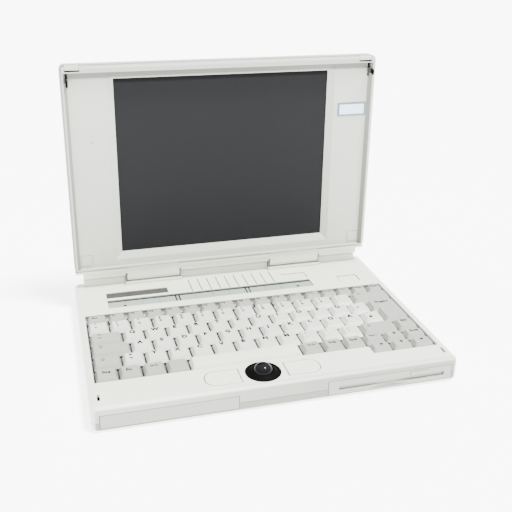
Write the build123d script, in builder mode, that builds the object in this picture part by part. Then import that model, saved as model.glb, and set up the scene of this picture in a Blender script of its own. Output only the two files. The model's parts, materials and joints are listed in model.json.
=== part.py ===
from build123d import *
import os

os.makedirs("parts", exist_ok=True)

# A portable computer with a hinged lid, open at a right angle.
# X runs to the right, Y to the back and Z up, in millimetres.
# The origin is on the table, under the middle of the base.

# Driving dimensions of the base
BASE_WIDTH = 299.0
BASE_DEPTH = 216.4
BASE_CORNER = 5.0
UNDERSIDE_Z = 1.5
PARTING_Z = 9.0
DECK_Z = 21.5
DECK_EDGE = 4.0
BOTTOM_EDGE = 2.5
WALL = 2.2
FLOOR = 2.0
BASE_FRONT = -BASE_DEPTH / 2
BASE_BACK = BASE_DEPTH / 2
DECK_UNDER_Z = DECK_Z - WALL
FLOOR_TOP_Z = UNDERSIDE_Z + FLOOR

# Driving dimensions of the lid, as it stands when open
AXIS_Y = 99.7
AXIS_Z = 28.8
LID_WIDTH = 296.6
LID_THICKNESS = 18.0
LID_TOP_Z = 236.3
LID_BOTTOM_Z = 39.7
LID_CORNER = 4.0
LID_FACE_Y = 92.6
LID_SPLIT_Y = 98.0
LID_BACK_Y = LID_FACE_Y + LID_THICKNESS
RIM_WIDTH = 2.8
RIM_SLANT = 2.8
RIM_ROUND = 1.8
LINE = 0.3
LINE_DEPTH = 0.8
TOP_RIM = 6.5
BOTTOM_RIM = 2.0
RECESS = 4.5
RECESS_Y = LID_FACE_Y + RECESS
LID_MIDDLE_Z = (LID_TOP_Z + LID_BOTTOM_Z) / 2
LID_HEIGHT = LID_TOP_Z - LID_BOTTOM_Z
LID_BACK_EDGE = 3.8
RECESS_LOW_Z = LID_BOTTOM_Z + BOTTOM_RIM
RECESS_HIGH_Z = LID_TOP_Z - TOP_RIM
BEZEL_REAR_Y = 100.9
NECK_BACK = 4.5

# Driving dimensions of the screen
SCREEN_HALF = 102.0
SCREEN_LOW_Z = 54.6
SCREEN_HIGH_Z = 222.7
FUNNEL = 6.6
FUNNEL_DEPTH = 3.0
GLASS_Y = 101.0
SCREEN_MIDDLE_Z = (SCREEN_LOW_Z + SCREEN_HIGH_Z) / 2
SCREEN_HEIGHT = SCREEN_HIGH_Z - SCREEN_LOW_Z

# Driving dimensions of the keyboard
KEY_PITCH = 19.0
KEY_GAP = 1.3
CAP_CORNER = 1.2
KEY_TOP_Z = 23.0
KEY_SKIRT_Z = 18.9
KEYBOARD_LEFT = -143.2
ROW_FRONT = 3.2
FUNCTION_FRONT = ROW_FRONT + KEY_PITCH + 0.3
FUNCTION_DEPTH = 13.2
ARROW_DEPTH = 15.0
WELL_LEFT = -143.9
WELL_RIGHT = 142.6
WELL_BACK = 37.0
WELL_FRONT = -73.4
NOTCH_LEFT = 84.4
NOTCH_FRONT = -84.4

# Driving dimensions of the hinge
BARREL_RADIUS = 4.9
BARREL_INNER = 47.2
BARREL_OUTER = 98.4
PIN_RADIUS = 2.0
PIN_PLAY = 0.05
EAR = 1.4
EAR_GAP = 0.35
EAR_INNER = BARREL_INNER - EAR_GAP - EAR
EAR_OUTER = BARREL_OUTER + EAR_GAP + EAR
EAR_RADIUS = 3.2
BAR_HALF = 140.5
BAR_FRONT = AXIS_Y - 4.7
BAR_LOW_Z = AXIS_Z + 2.2
LIP_FRONT = LID_FACE_Y + 1.0
LIP_LOW_Z = LID_BOTTOM_Z - 2.9
LIP_GAP = 0.4
LIP_HALF = LID_WIDTH / 2 - 0.4
RAIL_FRONT = 99.2
RAIL_TOP_Z = 28.5
STEP_Y = 90.3
STEP_Z = DECK_Z - 0.6
REST_FRONT = 93.5
REST_TOP_Z = AXIS_Z - BARREL_RADIUS - 0.6

# Trackball and its buttons
BALL_X = -13.0
BALL_Y = -88.9
BALL_Z = 21.4
BALL_RADIUS = 8.0
BALL_PLAY = 0.3
RING_RADIUS = 14.5
RING_SHOULDER = 12.0
RING_CREST = 9.4
RING_TOP_Z = DECK_Z + 1.9
RING_MOUTH = 7.95
CUP_RADIUS = 8.5
CUP_FLOOR_Z = 13.1
CUP_FLOOR_RADIUS = 3.5
CUP_SIDE_Z = 17.0
CAGE_TOP_Z = 19.2
CAGE_HALF = 17.0
BUTTON_FRONT = -98.9
BUTTON_BACK = -80.3
LEFT_BUTTON = (-32.4, -60.2)
RIGHT_BUTTON = (6.2, 34.0)
BUTTON_GAP = 0.7
BUTTON_FLANGE = 1.3

# Openings in the front wall
PACK_LEFT = -143.2
PACK_RIGHT = -37.2
PACK_LOW_Z = 3.7
PACK_HIGH_Z = 15.0
DRIVE_LEFT = 35.8
DRIVE_RIGHT = 143.6
DRIVE_LOW_Z = 3.7
DRIVE_HIGH_Z = 16.0
GAP = 0.4
SEAM = 0.35

# Catches at the lid's upper corners
HOOK_X = 142.5
HOOK_WIDTH = 1.4
HOOK_GAP = 0.4
HOOK_LOW_Z = 220.4
HOOK_HIGH_Z = 224.6
HOOK_Y = LID_FACE_Y - 8.0
SOCKET_Y = -93.4
SOCKET_LENGTH = 8.2
SLIDER_LOW_Z = 232.4
SLIDER_INNER = 131.2
SLIDER_OUTER = 143.6

# Pads and bare plate on the bezel
PAD_X = 136.2
PAD_Z = 49.6
PAD_SIZE = 10.0
BADGE_PLACE = (127.5, 184.4)
BADGE_SIZE = (28.6, 12.7)

# Screws between the two halves of the base, and the feet
SCREW_PLACES = [(-26, -102), (0, -102), (-138, 90), (138, 90), (-68, 84), (134, 44.5)]
BOSS_RADIUS = 3.5
SHANK_RADIUS = 1.25
FOOT_PLACES = [(-118, -92), (118, -92), (-118, 92), (118, 92)]
FOOT_RADIUS = 6.0

# Fittings of the deck behind the keyboard
STATUS_PLACE = (-92.2, 73.1)
STATUS_SIZE = (58.8, 11.0)
STRIP_PLACE = (-21.55, 55.4)
STRIP_SIZE = (200.1, 15.4)
STRIP_DEPTH = 1.4
STRIP_TOP_Z = 20.7
BARE_PLACE = (65.95, 73.2)
BARE_SIZE = (25.1, 14.0)
BARE_DEPTH = 0.8
POWER_PLACE = (117.45, 55.8)
POWER_SIZE = (19.6, 12.1)
POWER_TOP_Z = 21.3
GROOVE_COUNT = 10
GROOVE_LEFT = -39.6
GROOVE_PITCH = 9.21
GROOVE_MIDDLE = 77.05
GROOVE_LENGTH = 26.5
GROOVE_WIDTH = 0.9
GROOVE_DEPTH = 1.6
SPEAKER_PLACE = (2.0, 76.0)
BUTTON_ROUND = 8.0

# Openings in the back wall
PORT_WINDOW = (-38.0, 130.0)
PORT_LOW_Z = 4.6
PORT_HIGH_Z = 16.0
PORT_Z = 10.5
PANEL_Y = 101.0
PANEL_THICKNESS = 1.5
SHELL_BACK = 107.8
VENT_LEFT = -130.0
VENT_PITCH = 6.0
VENT_COUNT = 12
VENT_LENGTH = 8.0
VENT_WIDTH = 2.0
VENT_Z = 14.0
SERIAL_X = 78.0
PARALLEL_X = -8.0
VIDEO_X = 40.0
MOUSE_X = 104.0
POWER_JACK_X = 122.0
SMALL_SPACING = 24.99
LARGE_SPACING = 47.04
SCREW_SEAT_BACK = 107.5
SCREW_SEAT_HOLE = 1.42

# Battery latch in the floor
LATCH_SPAN_X = (-102.4, -76.6)
LATCH_SPAN_Y = (-98.0, -88.0)
LATCH_LENGTH = 20.0
LATCH_STEP_Z = 2.45

# Inner pieces under the keyboard
PLATE_LOW_Z = 15.0
PLATE_TOP_Z = 16.2
INSIDE_TOP_Z = 13.2
STEM = 3.4
STEM_HOLE = 3.8
STEM_LOW_Z = 15.9
BOARD_LOW_Z = 5.2
BOARD_TOP_Z = 6.8

# Floppy slot
SLOT_LEFT = 44.4
SLOT_RIGHT = 136.6
SLOT_LOW_Z = 7.6
SLOT_HIGH_Z = 11.2
BEZEL_FRONT = -108.6
BEZEL_BACK = -106.0
FLAP_Y = -106.6
FLAP_Z = 10.7
EJECT_LEFT = 106.0
EJECT_RIGHT = 122.6
EJECT_LOW_Z = 11.9
EJECT_HIGH_Z = 15.0

# Roller beside the trackball
ROLLER_RADIUS = 1.5
ROLLER_Y = BALL_Y + 7.946
ROLLER_Z = BALL_Z - 5.564
ROLLER_SHAFT = 0.7


def save(piece, name):
    """Labels a finished piece and writes it."""
    piece.part.label = name
    export_step(piece.part, f"parts/{name}.step")


def flat(z, x=0.0, y=0.0):
    """A level plane at a height, centred on a place."""
    return Plane((x, y, z))


def under(z, x=0.0, y=0.0):
    """A level plane that faces down."""
    return Plane((x, y, z), x_dir=(1, 0, 0), z_dir=(0, 0, -1))


def upright(y, x=0.0, z=0.0):
    """A plane that faces the front, its sketch X to the right and its sketch Y up."""
    return Plane((x, y, z), x_dir=(1, 0, 0), z_dir=(0, -1, 0))


def across(x, y=0.0, z=0.0):
    """A plane that faces right, its sketch X to the back and its sketch Y up."""
    return Plane((x, y, z), x_dir=(0, 1, 0), z_dir=(1, 0, 0))


def block(x_span, y_span, z_span, mode=Mode.ADD):
    """A straight block between three pairs of limits, in the part being built."""
    middle = [(low + high) / 2 for low, high in (x_span, y_span, z_span)]
    with Locations(tuple(middle)):
        Box(x_span[1] - x_span[0], y_span[1] - y_span[0], z_span[1] - z_span[0], mode=mode)


def click_outline(inner, outer, grow=0.0):
    """Face of a click button, round at its outer end, in the sketch being built."""
    side = 1 if outer > inner else -1
    near = inner - side * grow
    far = outer + side * grow
    middle_y = (BUTTON_FRONT + BUTTON_BACK) / 2
    depth = BUTTON_BACK - BUTTON_FRONT + 2 * grow
    square = abs(far - near) - BUTTON_ROUND - grow
    with Locations(((near + far) / 2, middle_y)):
        RectangleRounded(abs(far - near), depth, BUTTON_ROUND + grow)
    with Locations((near + side * square / 2, middle_y)):
        Rectangle(square, depth)


def well_outline(grow=0.0):
    """Face of the keyboard well with its notch for the arrow keys, in the sketch being built."""
    Polygon((WELL_LEFT - grow, WELL_FRONT - grow), (NOTCH_LEFT - grow, WELL_FRONT - grow),
            (NOTCH_LEFT - grow, NOTCH_FRONT - grow), (WELL_RIGHT + grow, NOTCH_FRONT - grow),
            (WELL_RIGHT + grow, WELL_BACK + grow), (WELL_LEFT - grow, WELL_BACK + grow), align=None)


def mirrored_span(side, low, high):
    """Limits in X of a stretch that lies at one side of the middle."""
    return (side * low, side * high) if side > 0 else (side * high, side * low)


# Bottom case: a tray with bosses, ribs, foot beds and open bays in its front and back walls
with BuildPart() as bottom_case:
    with BuildSketch(flat(UNDERSIDE_Z)):
        RectangleRounded(BASE_WIDTH, BASE_DEPTH, BASE_CORNER)
    extrude(amount=PARTING_Z - UNDERSIDE_Z)
    fillet(bottom_case.faces().sort_by(Axis.Z)[0].edges(), BOTTOM_EDGE)
    chamfer(bottom_case.faces().sort_by(Axis.Z)[-1].edges(), SEAM)
    with BuildSketch(flat(FLOOR_TOP_Z)):
        RectangleRounded(BASE_WIDTH - 2 * WALL, BASE_DEPTH - 2 * WALL, BASE_CORNER - WALL)
    extrude(amount=PARTING_Z - FLOOR_TOP_Z, mode=Mode.SUBTRACT)
    with BuildSketch(flat(FLOOR_TOP_Z)):
        with Locations(*SCREW_PLACES):
            Circle(BOSS_RADIUS)
    extrude(amount=PARTING_Z - FLOOR_TOP_Z)
    # Stand-offs of the main board, and ribs that close the battery bay
    with BuildSketch(flat(FLOOR_TOP_Z)):
        with Locations((-20, 40), (-20, -15), (28, 40), (112, 60)):
            Circle(2.5)
    extrude(amount=BOARD_LOW_Z - FLOOR_TOP_Z)
    block((-36.2, -34.8), (-95, -22), (FLOOR_TOP_Z, PARTING_Z))
    block((-145, -34.8), (-23.2, -22), (FLOOR_TOP_Z, PARTING_Z))
    block((-34.8, 33), (-66, -64.6), (FLOOR_TOP_Z, PARTING_Z - 2))
    with Locations(*[under(UNDERSIDE_Z, x, y) for x, y in SCREW_PLACES]):
        CounterBoreHole(radius=1.5, counter_bore_radius=2.8, counter_bore_depth=1.5, depth=PARTING_Z)
    with BuildSketch(flat(UNDERSIDE_Z)):
        with Locations(*FOOT_PLACES):
            Circle(FOOT_RADIUS + 0.1)
    extrude(amount=0.5, mode=Mode.SUBTRACT)
    # Bays in the front wall, the port window, and the stepped slot of the battery latch
    block((PACK_LEFT - GAP, PACK_RIGHT + GAP), (BASE_FRONT - 1, BASE_FRONT + 3),
          (FLOOR_TOP_Z, PARTING_Z + 1), mode=Mode.SUBTRACT)
    block((DRIVE_LEFT - GAP, DRIVE_RIGHT + GAP), (BASE_FRONT - 1, BASE_FRONT + 3),
          (FLOOR_TOP_Z, PARTING_Z + 1), mode=Mode.SUBTRACT)
    block(PORT_WINDOW, (BASE_BACK - 4, BASE_BACK + 1), (PORT_LOW_Z, PARTING_Z + 1), mode=Mode.SUBTRACT)
    block(LATCH_SPAN_X, LATCH_SPAN_Y, (UNDERSIDE_Z - 1, FLOOR_TOP_Z + 1), mode=Mode.SUBTRACT)
    block(LATCH_SPAN_X, (LATCH_SPAN_Y[0] - 1.7, LATCH_SPAN_Y[1] + 1.7),
          (LATCH_STEP_Z, FLOOR_TOP_Z + 1), mode=Mode.SUBTRACT)
save(bottom_case, "bottom_case")

# Top case: the deck with its openings, the raised rail at the back and the hinge slots
with BuildPart() as top_case:
    with BuildSketch(flat(PARTING_Z)):
        RectangleRounded(BASE_WIDTH, BASE_DEPTH, BASE_CORNER)
    extrude(amount=DECK_Z - PARTING_Z)
    fillet(top_case.faces().sort_by(Axis.Z)[-1].edges(), DECK_EDGE)
    chamfer(top_case.faces().sort_by(Axis.Z)[0].edges(), SEAM)
    with BuildSketch(across(-BAR_HALF)):
        with BuildLine():
            Polyline((BASE_BACK - 3, RAIL_TOP_Z), (RAIL_FRONT + 1, RAIL_TOP_Z), (RAIL_FRONT, RAIL_TOP_Z - 1),
                     (RAIL_FRONT, DECK_UNDER_Z), (BASE_BACK - 3, DECK_UNDER_Z),
                     (BASE_BACK - 3, PARTING_Z + 3), (BASE_BACK, PARTING_Z + 3), (BASE_BACK, RAIL_TOP_Z - 3))
            ThreePointArc((BASE_BACK, RAIL_TOP_Z - 3), (BASE_BACK - 0.88, RAIL_TOP_Z - 0.88),
                          (BASE_BACK - 3, RAIL_TOP_Z))
        make_face()
    extrude(amount=2 * BAR_HALF)
    with BuildSketch(flat(PARTING_Z)):
        RectangleRounded(BASE_WIDTH - 2 * WALL, BASE_DEPTH - 2 * WALL, BASE_CORNER - WALL)
    extrude(amount=DECK_UNDER_Z - PARTING_Z, mode=Mode.SUBTRACT)
    with BuildSketch(flat(PARTING_Z)):
        with Locations(*SCREW_PLACES):
            Circle(BOSS_RADIUS)
    extrude(amount=DECK_UNDER_Z - PARTING_Z)
    with Locations(*[under(PARTING_Z, x, y) for x, y in SCREW_PLACES]):
        Hole(radius=SHANK_RADIUS, depth=9)
    # Keyboard well, trackball hole, click buttons, power button, status window and latch sockets
    with BuildSketch(flat(DECK_UNDER_Z)):
        well_outline()
        click_outline(*LEFT_BUTTON, BUTTON_GAP)
        click_outline(*RIGHT_BUTTON, BUTTON_GAP)
        with Locations((BALL_X, BALL_Y)):
            Circle(RING_RADIUS + 0.2)
        with Locations(POWER_PLACE):
            RectangleRounded(POWER_SIZE[0] + 2 * BUTTON_GAP, POWER_SIZE[1] + 2 * BUTTON_GAP, 1.5)
        with Locations(STATUS_PLACE):
            Rectangle(*STATUS_SIZE)
        with Locations((-HOOK_X, SOCKET_Y), (HOOK_X, SOCKET_Y)):
            Rectangle(HOOK_WIDTH + 2 * HOOK_GAP, SOCKET_LENGTH)
    extrude(amount=WALL, mode=Mode.SUBTRACT)
    # Sunk beds of the label strip and of the bare plate, and the sound grooves
    with BuildSketch(flat(DECK_Z)):
        with Locations(STRIP_PLACE):
            Rectangle(*STRIP_SIZE)
    extrude(amount=-STRIP_DEPTH, mode=Mode.SUBTRACT)
    with BuildSketch(flat(DECK_Z)):
        with Locations(BARE_PLACE):
            RectangleRounded(*BARE_SIZE, 1.0)
    extrude(amount=-BARE_DEPTH, mode=Mode.SUBTRACT)
    with BuildSketch(flat(DECK_Z)):
        with Locations(*[(GROOVE_LEFT + GROOVE_PITCH * n, GROOVE_MIDDLE) for n in range(GROOVE_COUNT)]):
            Rectangle(GROOVE_WIDTH, GROOVE_LENGTH)
    extrude(amount=-GROOVE_DEPTH, mode=Mode.SUBTRACT)
    # Low step where the closed lid ends
    block((-BAR_HALF, BAR_HALF), (STEP_Y, RAIL_FRONT), (STEP_Z, DECK_Z + 1), mode=Mode.SUBTRACT)
    # Rests and pockets of the hinge barrels, slots for the ears, and hollows in the rail beside them
    for side in (-1, 1):
        pocket = mirrored_span(side, EAR_INNER - EAR_GAP, EAR_OUTER + EAR_GAP)
        block(pocket, (REST_FRONT, RAIL_FRONT + 1), (STEP_Z, REST_TOP_Z))
        with BuildSketch(across(pocket[0], AXIS_Y, AXIS_Z)):
            Circle(BARREL_RADIUS + 0.6)
        extrude(amount=pocket[1] - pocket[0], mode=Mode.SUBTRACT)
        slot_y = (AXIS_Y - EAR_RADIUS - 0.3, AXIS_Y + EAR_RADIUS + 0.3)
        for low, high in ((EAR_INNER, EAR_INNER + EAR), (EAR_OUTER - EAR, EAR_OUTER)):
            block(mirrored_span(side, low - 0.2, high + 0.2), slot_y, (DECK_UNDER_Z - 1, RAIL_TOP_Z),
                  mode=Mode.SUBTRACT)
        block(mirrored_span(side, EAR_OUTER + 3, BAR_HALF - 2), (RAIL_FRONT + 2, BASE_BACK - WALL),
              (DECK_UNDER_Z - 1, RAIL_TOP_Z - 2), mode=Mode.SUBTRACT)
    block((3 - EAR_INNER, EAR_INNER - 3), (RAIL_FRONT + 2, BASE_BACK - WALL),
          (DECK_UNDER_Z - 1, RAIL_TOP_Z - 2), mode=Mode.SUBTRACT)
    # Bays in the front wall, and the port window and the vents in the back wall
    block((PACK_LEFT - GAP, PACK_RIGHT + GAP), (BASE_FRONT - 1, BASE_FRONT + 3),
          (PARTING_Z - 1, PACK_HIGH_Z + GAP), mode=Mode.SUBTRACT)
    block((DRIVE_LEFT - GAP, DRIVE_RIGHT + GAP), (BASE_FRONT - 1, BASE_FRONT + 3),
          (PARTING_Z - 1, DRIVE_HIGH_Z + GAP), mode=Mode.SUBTRACT)
    block(PORT_WINDOW, (BASE_BACK - 4, BASE_BACK + 1), (PARTING_Z - 1, PORT_HIGH_Z), mode=Mode.SUBTRACT)
    with BuildSketch(upright(BASE_BACK + 1, 0, VENT_Z)):
        with Locations(*[(VENT_LEFT + VENT_PITCH * n, 0) for n in range(VENT_COUNT)]):
            Rectangle(VENT_WIDTH, VENT_LENGTH)
    extrude(amount=4, mode=Mode.SUBTRACT)
save(top_case, "top_case")

# Rubber feet in their beds
with BuildPart() as rubber_feet:
    with BuildSketch(flat(0)):
        with Locations(*FOOT_PLACES):
            Circle(FOOT_RADIUS)
    extrude(amount=UNDERSIDE_Z + 0.5)
    chamfer(rubber_feet.faces().group_by(Axis.Z)[0].edges(), 0.5)
save(rubber_feet, "rubber_feet")

# Case screws, driven up from below, with a slotted cross in each head
with BuildPart() as case_screws:
    with BuildSketch(flat(UNDERSIDE_Z + 0.2)):
        with Locations(*SCREW_PLACES):
            Circle(2.6)
    extrude(amount=1.3)
    with BuildSketch(flat(UNDERSIDE_Z + 1.5)):
        with Locations(*SCREW_PLACES):
            Circle(SHANK_RADIUS)
    extrude(amount=13)
    with BuildSketch(flat(UNDERSIDE_Z + 0.2)):
        with Locations(*SCREW_PLACES):
            Rectangle(3.2, 0.7)
            Rectangle(0.7, 3.2)
    extrude(amount=0.7, mode=Mode.SUBTRACT)
save(case_screws, "case_screws")


# Keys: cells are counted in key widths from the left edge of the keyboard
def cell(start, end, front, depth=KEY_PITCH):
    """Middle and size of the place of one key."""
    middle = KEYBOARD_LEFT + (start + end) / 2 * KEY_PITCH
    return (middle, front + depth / 2, (end - start) * KEY_PITCH, depth)


def run(start, count, front, size=1.0, depth=KEY_PITCH):
    """Cells of keys of one size, side by side."""
    return [cell(start + n * size, start + (n + 1) * size, front, depth) for n in range(count)]


SECOND_FRONT = ROW_FRONT - KEY_PITCH
THIRD_FRONT = ROW_FRONT - 2 * KEY_PITCH
FOURTH_FRONT = ROW_FRONT - 3 * KEY_PITCH
LAST_FRONT = ROW_FRONT - 4 * KEY_PITCH
UP_FRONT = FOURTH_FRONT - ARROW_DEPTH
DOWN_FRONT = UP_FRONT - ARROW_DEPTH
NUMBER_CELLS = run(0, 13, ROW_FRONT)
UPPER_CELLS = run(1.5, 12, SECOND_FRONT)
HOME_CELLS = run(1.75, 12, THIRD_FRONT)
LOWER_CELLS = run(1.25, 11, FOURTH_FRONT)
CONTROL_CELLS = run(0, 4, LAST_FRONT) + run(9, 3, LAST_FRONT)
ESCAPE_CELLS = run(0, 1, FUNCTION_FRONT, 1.0, FUNCTION_DEPTH)
FUNCTION_CELLS = run(1.0, 12, FUNCTION_FRONT, 0.89, FUNCTION_DEPTH)
PRINT_CELLS = run(11.68, 4, FUNCTION_FRONT, 0.83, FUNCTION_DEPTH)
BACKSPACE_CELL = cell(13, 15, ROW_FRONT)
TAB_CELL = cell(0, 1.5, SECOND_FRONT)
CAPS_CELL = cell(0, 1.75, THIRD_FRONT)
LEFT_SHIFT_CELL = cell(0, 1.25, FOURTH_FRONT)
RIGHT_SHIFT_CELL = cell(12.25, 14, FOURTH_FRONT)
SPACE_CELL = cell(4, 9, LAST_FRONT)
PAGE_CELL = cell(14, 15, FOURTH_FRONT)
EDIT_CELLS = [cell(12, 13, UP_FRONT, ARROW_DEPTH), cell(14, 15, UP_FRONT, ARROW_DEPTH)]
UP_CELL = cell(13, 14, UP_FRONT, ARROW_DEPTH)
LEFT_CELL = cell(12, 13, DOWN_FRONT, ARROW_DEPTH)
DOWN_CELL = cell(13, 14, DOWN_FRONT, ARROW_DEPTH)
RIGHT_CELL = cell(14, 15, DOWN_FRONT, ARROW_DEPTH)
ENTER_MIDDLE = (KEYBOARD_LEFT + 14.375 * KEY_PITCH, SECOND_FRONT)
SPACE_STEMS = [(SPACE_CELL[0] + shift, SPACE_CELL[1]) for shift in (-30, 0, 30)]
SIDE_TAPER = 2.25
FRONT_TAPER = 3.2
BACK_TAPER = 1.5
KEY_WALL = 1.2
ENTER_WALL = 0.6
KEY_HOLLOW_Z = KEY_TOP_Z - 1.4
DISH = 0.5
DISH_RISE = 0.49
TOP_SHIFT = (FRONT_TAPER - BACK_TAPER) / 2


def places(cells):
    """Middles of the given cells."""
    return [(x, y) for x, y, width, depth in cells]


def tapered(low_z, high_z, low_size, high_size, shift, mode=Mode.ADD):
    """A block with a smaller top that is set back by a shift, in the part being built."""
    left = (low_size[0] - high_size[0]) / 2
    back = (low_size[1] - high_size[1]) / 2 - shift
    with Locations((0, 0, (low_z + high_z) / 2)):
        Wedge(low_size[0], high_z - low_z, low_size[1], left, back, left + high_size[0],
              back + high_size[1], rotation=(90, 0, 0), mode=mode)


def keycap(width, depth, stems=((0, 0),), crown=False):
    """One hollow cap with a dished or a crowned top, its middle at the origin."""
    long = width - KEY_GAP
    deep = depth - KEY_GAP
    top_long = long - 2 * SIDE_TAPER
    top_deep = deep - FRONT_TAPER - BACK_TAPER
    with BuildPart() as cap:
        tapered(KEY_SKIRT_Z, KEY_TOP_Z, (long, deep), (top_long, top_deep), TOP_SHIFT)
        chamfer([edge for edge in cap.edges() if abs(edge.tangent_at(0.5).Z) > 0.5], CAP_CORNER)
        tapered(KEY_SKIRT_Z, KEY_HOLLOW_Z, (long - 2 * KEY_WALL, deep - 2 * KEY_WALL),
                (top_long - 0.6, top_deep - 0.6), TOP_SHIFT / 2, Mode.SUBTRACT)
        with BuildSketch(flat(STEM_LOW_Z)):
            with Locations(*stems):
                Rectangle(STEM, STEM)
        extrude(amount=KEY_HOLLOW_Z - STEM_LOW_Z)
        if crown:
            radius = (deep / 2) ** 2 / (2 * DISH)
            with Locations((0, TOP_SHIFT, KEY_TOP_Z - radius)):
                Cylinder(radius, 2 * width, rotation=(0, 90, 0), mode=Mode.INTERSECT)
        else:
            radius = (top_long / 2) ** 2 / (2 * DISH_RISE)
            with Locations((0, TOP_SHIFT, KEY_TOP_Z - DISH + radius)):
                Cylinder(radius, 2 * depth, rotation=(90, 0, 0), mode=Mode.SUBTRACT)
    return cap.part


def save_keys(name, *sets):
    """Writes one node of caps; each set is a list of cells of one size."""
    caps = [keycap(cells[0][2], cells[0][3]) for cells in sets]
    with BuildPart() as keys:
        for cap, cells in zip(caps, sets):
            with Locations(*places(cells)):
                add(cap)
    save(keys, name)


save_keys("number_keys", NUMBER_CELLS)
save_keys("upper_letter_keys", UPPER_CELLS)
save_keys("home_letter_keys", HOME_CELLS)
save_keys("lower_letter_keys", LOWER_CELLS)
save_keys("control_keys", CONTROL_CELLS)
save_keys("function_keys", ESCAPE_CELLS, FUNCTION_CELLS, PRINT_CELLS)
save_keys("editing_keys", [PAGE_CELL], EDIT_CELLS)
save_keys("backspace_key", [BACKSPACE_CELL])
save_keys("tab_key", [TAB_CELL])
save_keys("caps_lock_key", [CAPS_CELL])
save_keys("left_shift_key", [LEFT_SHIFT_CELL])
save_keys("right_shift_key", [RIGHT_SHIFT_CELL])
save_keys("arrow_up_key", [UP_CELL])
save_keys("arrow_left_key", [LEFT_CELL])
save_keys("arrow_down_key", [DOWN_CELL])
save_keys("arrow_right_key", [RIGHT_CELL])

# Space bar with a crowned top and three stems
space_cap = keycap(SPACE_CELL[2], KEY_PITCH, ((-30, 0), (0, 0), (30, 0)), crown=True)
with BuildPart() as space_bar:
    with Locations((SPACE_CELL[0], SPACE_CELL[1])):
        add(space_cap)
save(space_bar, "space_bar")


def enter_outline(side, front, back):
    """Stepped outline of the Enter key, drawn in by a margin at its sides, front and back."""
    left = KEYBOARD_LEFT + 13.5 * KEY_PITCH + side
    step = KEYBOARD_LEFT + 13.75 * KEY_PITCH + side
    right = KEYBOARD_LEFT + 15 * KEY_PITCH - side
    Polygon((left, SECOND_FRONT + front), (step, SECOND_FRONT + front), (step, THIRD_FRONT + front),
            (right, THIRD_FRONT + front), (right, ROW_FRONT - back), (left, ROW_FRONT - back), align=None)


# Enter key, two rows deep
with BuildPart() as enter_key:
    with BuildSketch(flat(KEY_SKIRT_Z)):
        enter_outline(KEY_GAP / 2, KEY_GAP / 2, KEY_GAP / 2)
    with BuildSketch(flat(KEY_TOP_Z)):
        enter_outline(KEY_GAP / 2 + SIDE_TAPER, KEY_GAP / 2 + FRONT_TAPER, KEY_GAP / 2 + BACK_TAPER)
    loft(ruled=True)
    with BuildSketch(flat(KEY_SKIRT_Z)):
        enter_outline(KEY_GAP / 2 + KEY_WALL, KEY_GAP / 2 + KEY_WALL, KEY_GAP / 2 + KEY_WALL)
    extrude(amount=0.8, mode=Mode.SUBTRACT)
    with BuildSketch(flat(KEY_SKIRT_Z)):
        enter_outline(KEY_GAP / 2 + SIDE_TAPER + ENTER_WALL, KEY_GAP / 2 + FRONT_TAPER + ENTER_WALL,
                      KEY_GAP / 2 + BACK_TAPER + ENTER_WALL)
    extrude(amount=KEY_HOLLOW_Z - KEY_SKIRT_Z, mode=Mode.SUBTRACT)
    with BuildSketch(flat(STEM_LOW_Z)):
        with Locations(ENTER_MIDDLE):
            Rectangle(STEM, STEM)
    extrude(amount=KEY_HOLLOW_Z - STEM_LOW_Z)
    enter_radius = (2 * KEY_PITCH / 2) ** 2 / (2 * DISH)
    with Locations((ENTER_MIDDLE[0], 0, KEY_TOP_Z - DISH / 4 + enter_radius)):
        Cylinder(enter_radius, 6 * KEY_PITCH, rotation=(90, 0, 0), mode=Mode.SUBTRACT)
save(enter_key, "enter_key")

# Keyboard frame: a plate with a hole for each stem and a rim that closes the well
STEM_PLACES = places(NUMBER_CELLS + UPPER_CELLS + HOME_CELLS + LOWER_CELLS + CONTROL_CELLS + ESCAPE_CELLS
                     + FUNCTION_CELLS + PRINT_CELLS + EDIT_CELLS + [BACKSPACE_CELL, TAB_CELL, CAPS_CELL]
                     + [LEFT_SHIFT_CELL, RIGHT_SHIFT_CELL, PAGE_CELL, UP_CELL, LEFT_CELL, DOWN_CELL])
STEM_PLACES += places([RIGHT_CELL]) + SPACE_STEMS + [ENTER_MIDDLE]
with BuildPart() as keyboard_frame:
    with BuildSketch(flat(PLATE_LOW_Z)):
        well_outline(2.2)
    extrude(amount=DECK_UNDER_Z - 0.1 - PLATE_LOW_Z)
    with BuildSketch(flat(PLATE_TOP_Z)):
        well_outline(0.8)
    extrude(amount=DECK_UNDER_Z - PLATE_TOP_Z, mode=Mode.SUBTRACT)
    with BuildSketch(flat(PLATE_LOW_Z)):
        with Locations(*STEM_PLACES):
            Rectangle(STEM_HOLE, STEM_HOLE)
    extrude(amount=PLATE_TOP_Z - PLATE_LOW_Z, mode=Mode.SUBTRACT)
save(keyboard_frame, "keyboard_frame")

# Main board with its chips
with BuildPart() as main_board:
    block((-62, 34), (-18, 96), (BOARD_LOW_Z, BOARD_TOP_Z))
    block((34, 126), (34, 96), (BOARD_LOW_Z, BOARD_TOP_Z))
    with BuildSketch(flat(BOARD_TOP_Z)):
        with Locations((-30, 20), (8, 26)):
            Rectangle(28, 28)
        with Locations((-44, 60), (-18, 60), (50, 56), (78, 56)):
            Rectangle(20, 12)
    extrude(amount=2.6)
    block((-58, -52), (-14, 40), (BOARD_TOP_Z, 11.5))
    block((84, 120), (72, 84), (BOARD_TOP_Z, 12.5))
save(main_board, "main_board")

# Hard disk with a raised lid and a pin block
with BuildPart() as hard_disk:
    block((-142, -72), (-18, 80), (3.7, 12.4))
    with BuildSketch(flat(12.4)):
        with Locations((-107, 34)):
            RectangleRounded(64, 84, 6)
    extrude(amount=INSIDE_TOP_Z - 12.4)
    block((-128, -86), (-21, -18), (6, 10))
save(hard_disk, "hard_disk")

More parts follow.
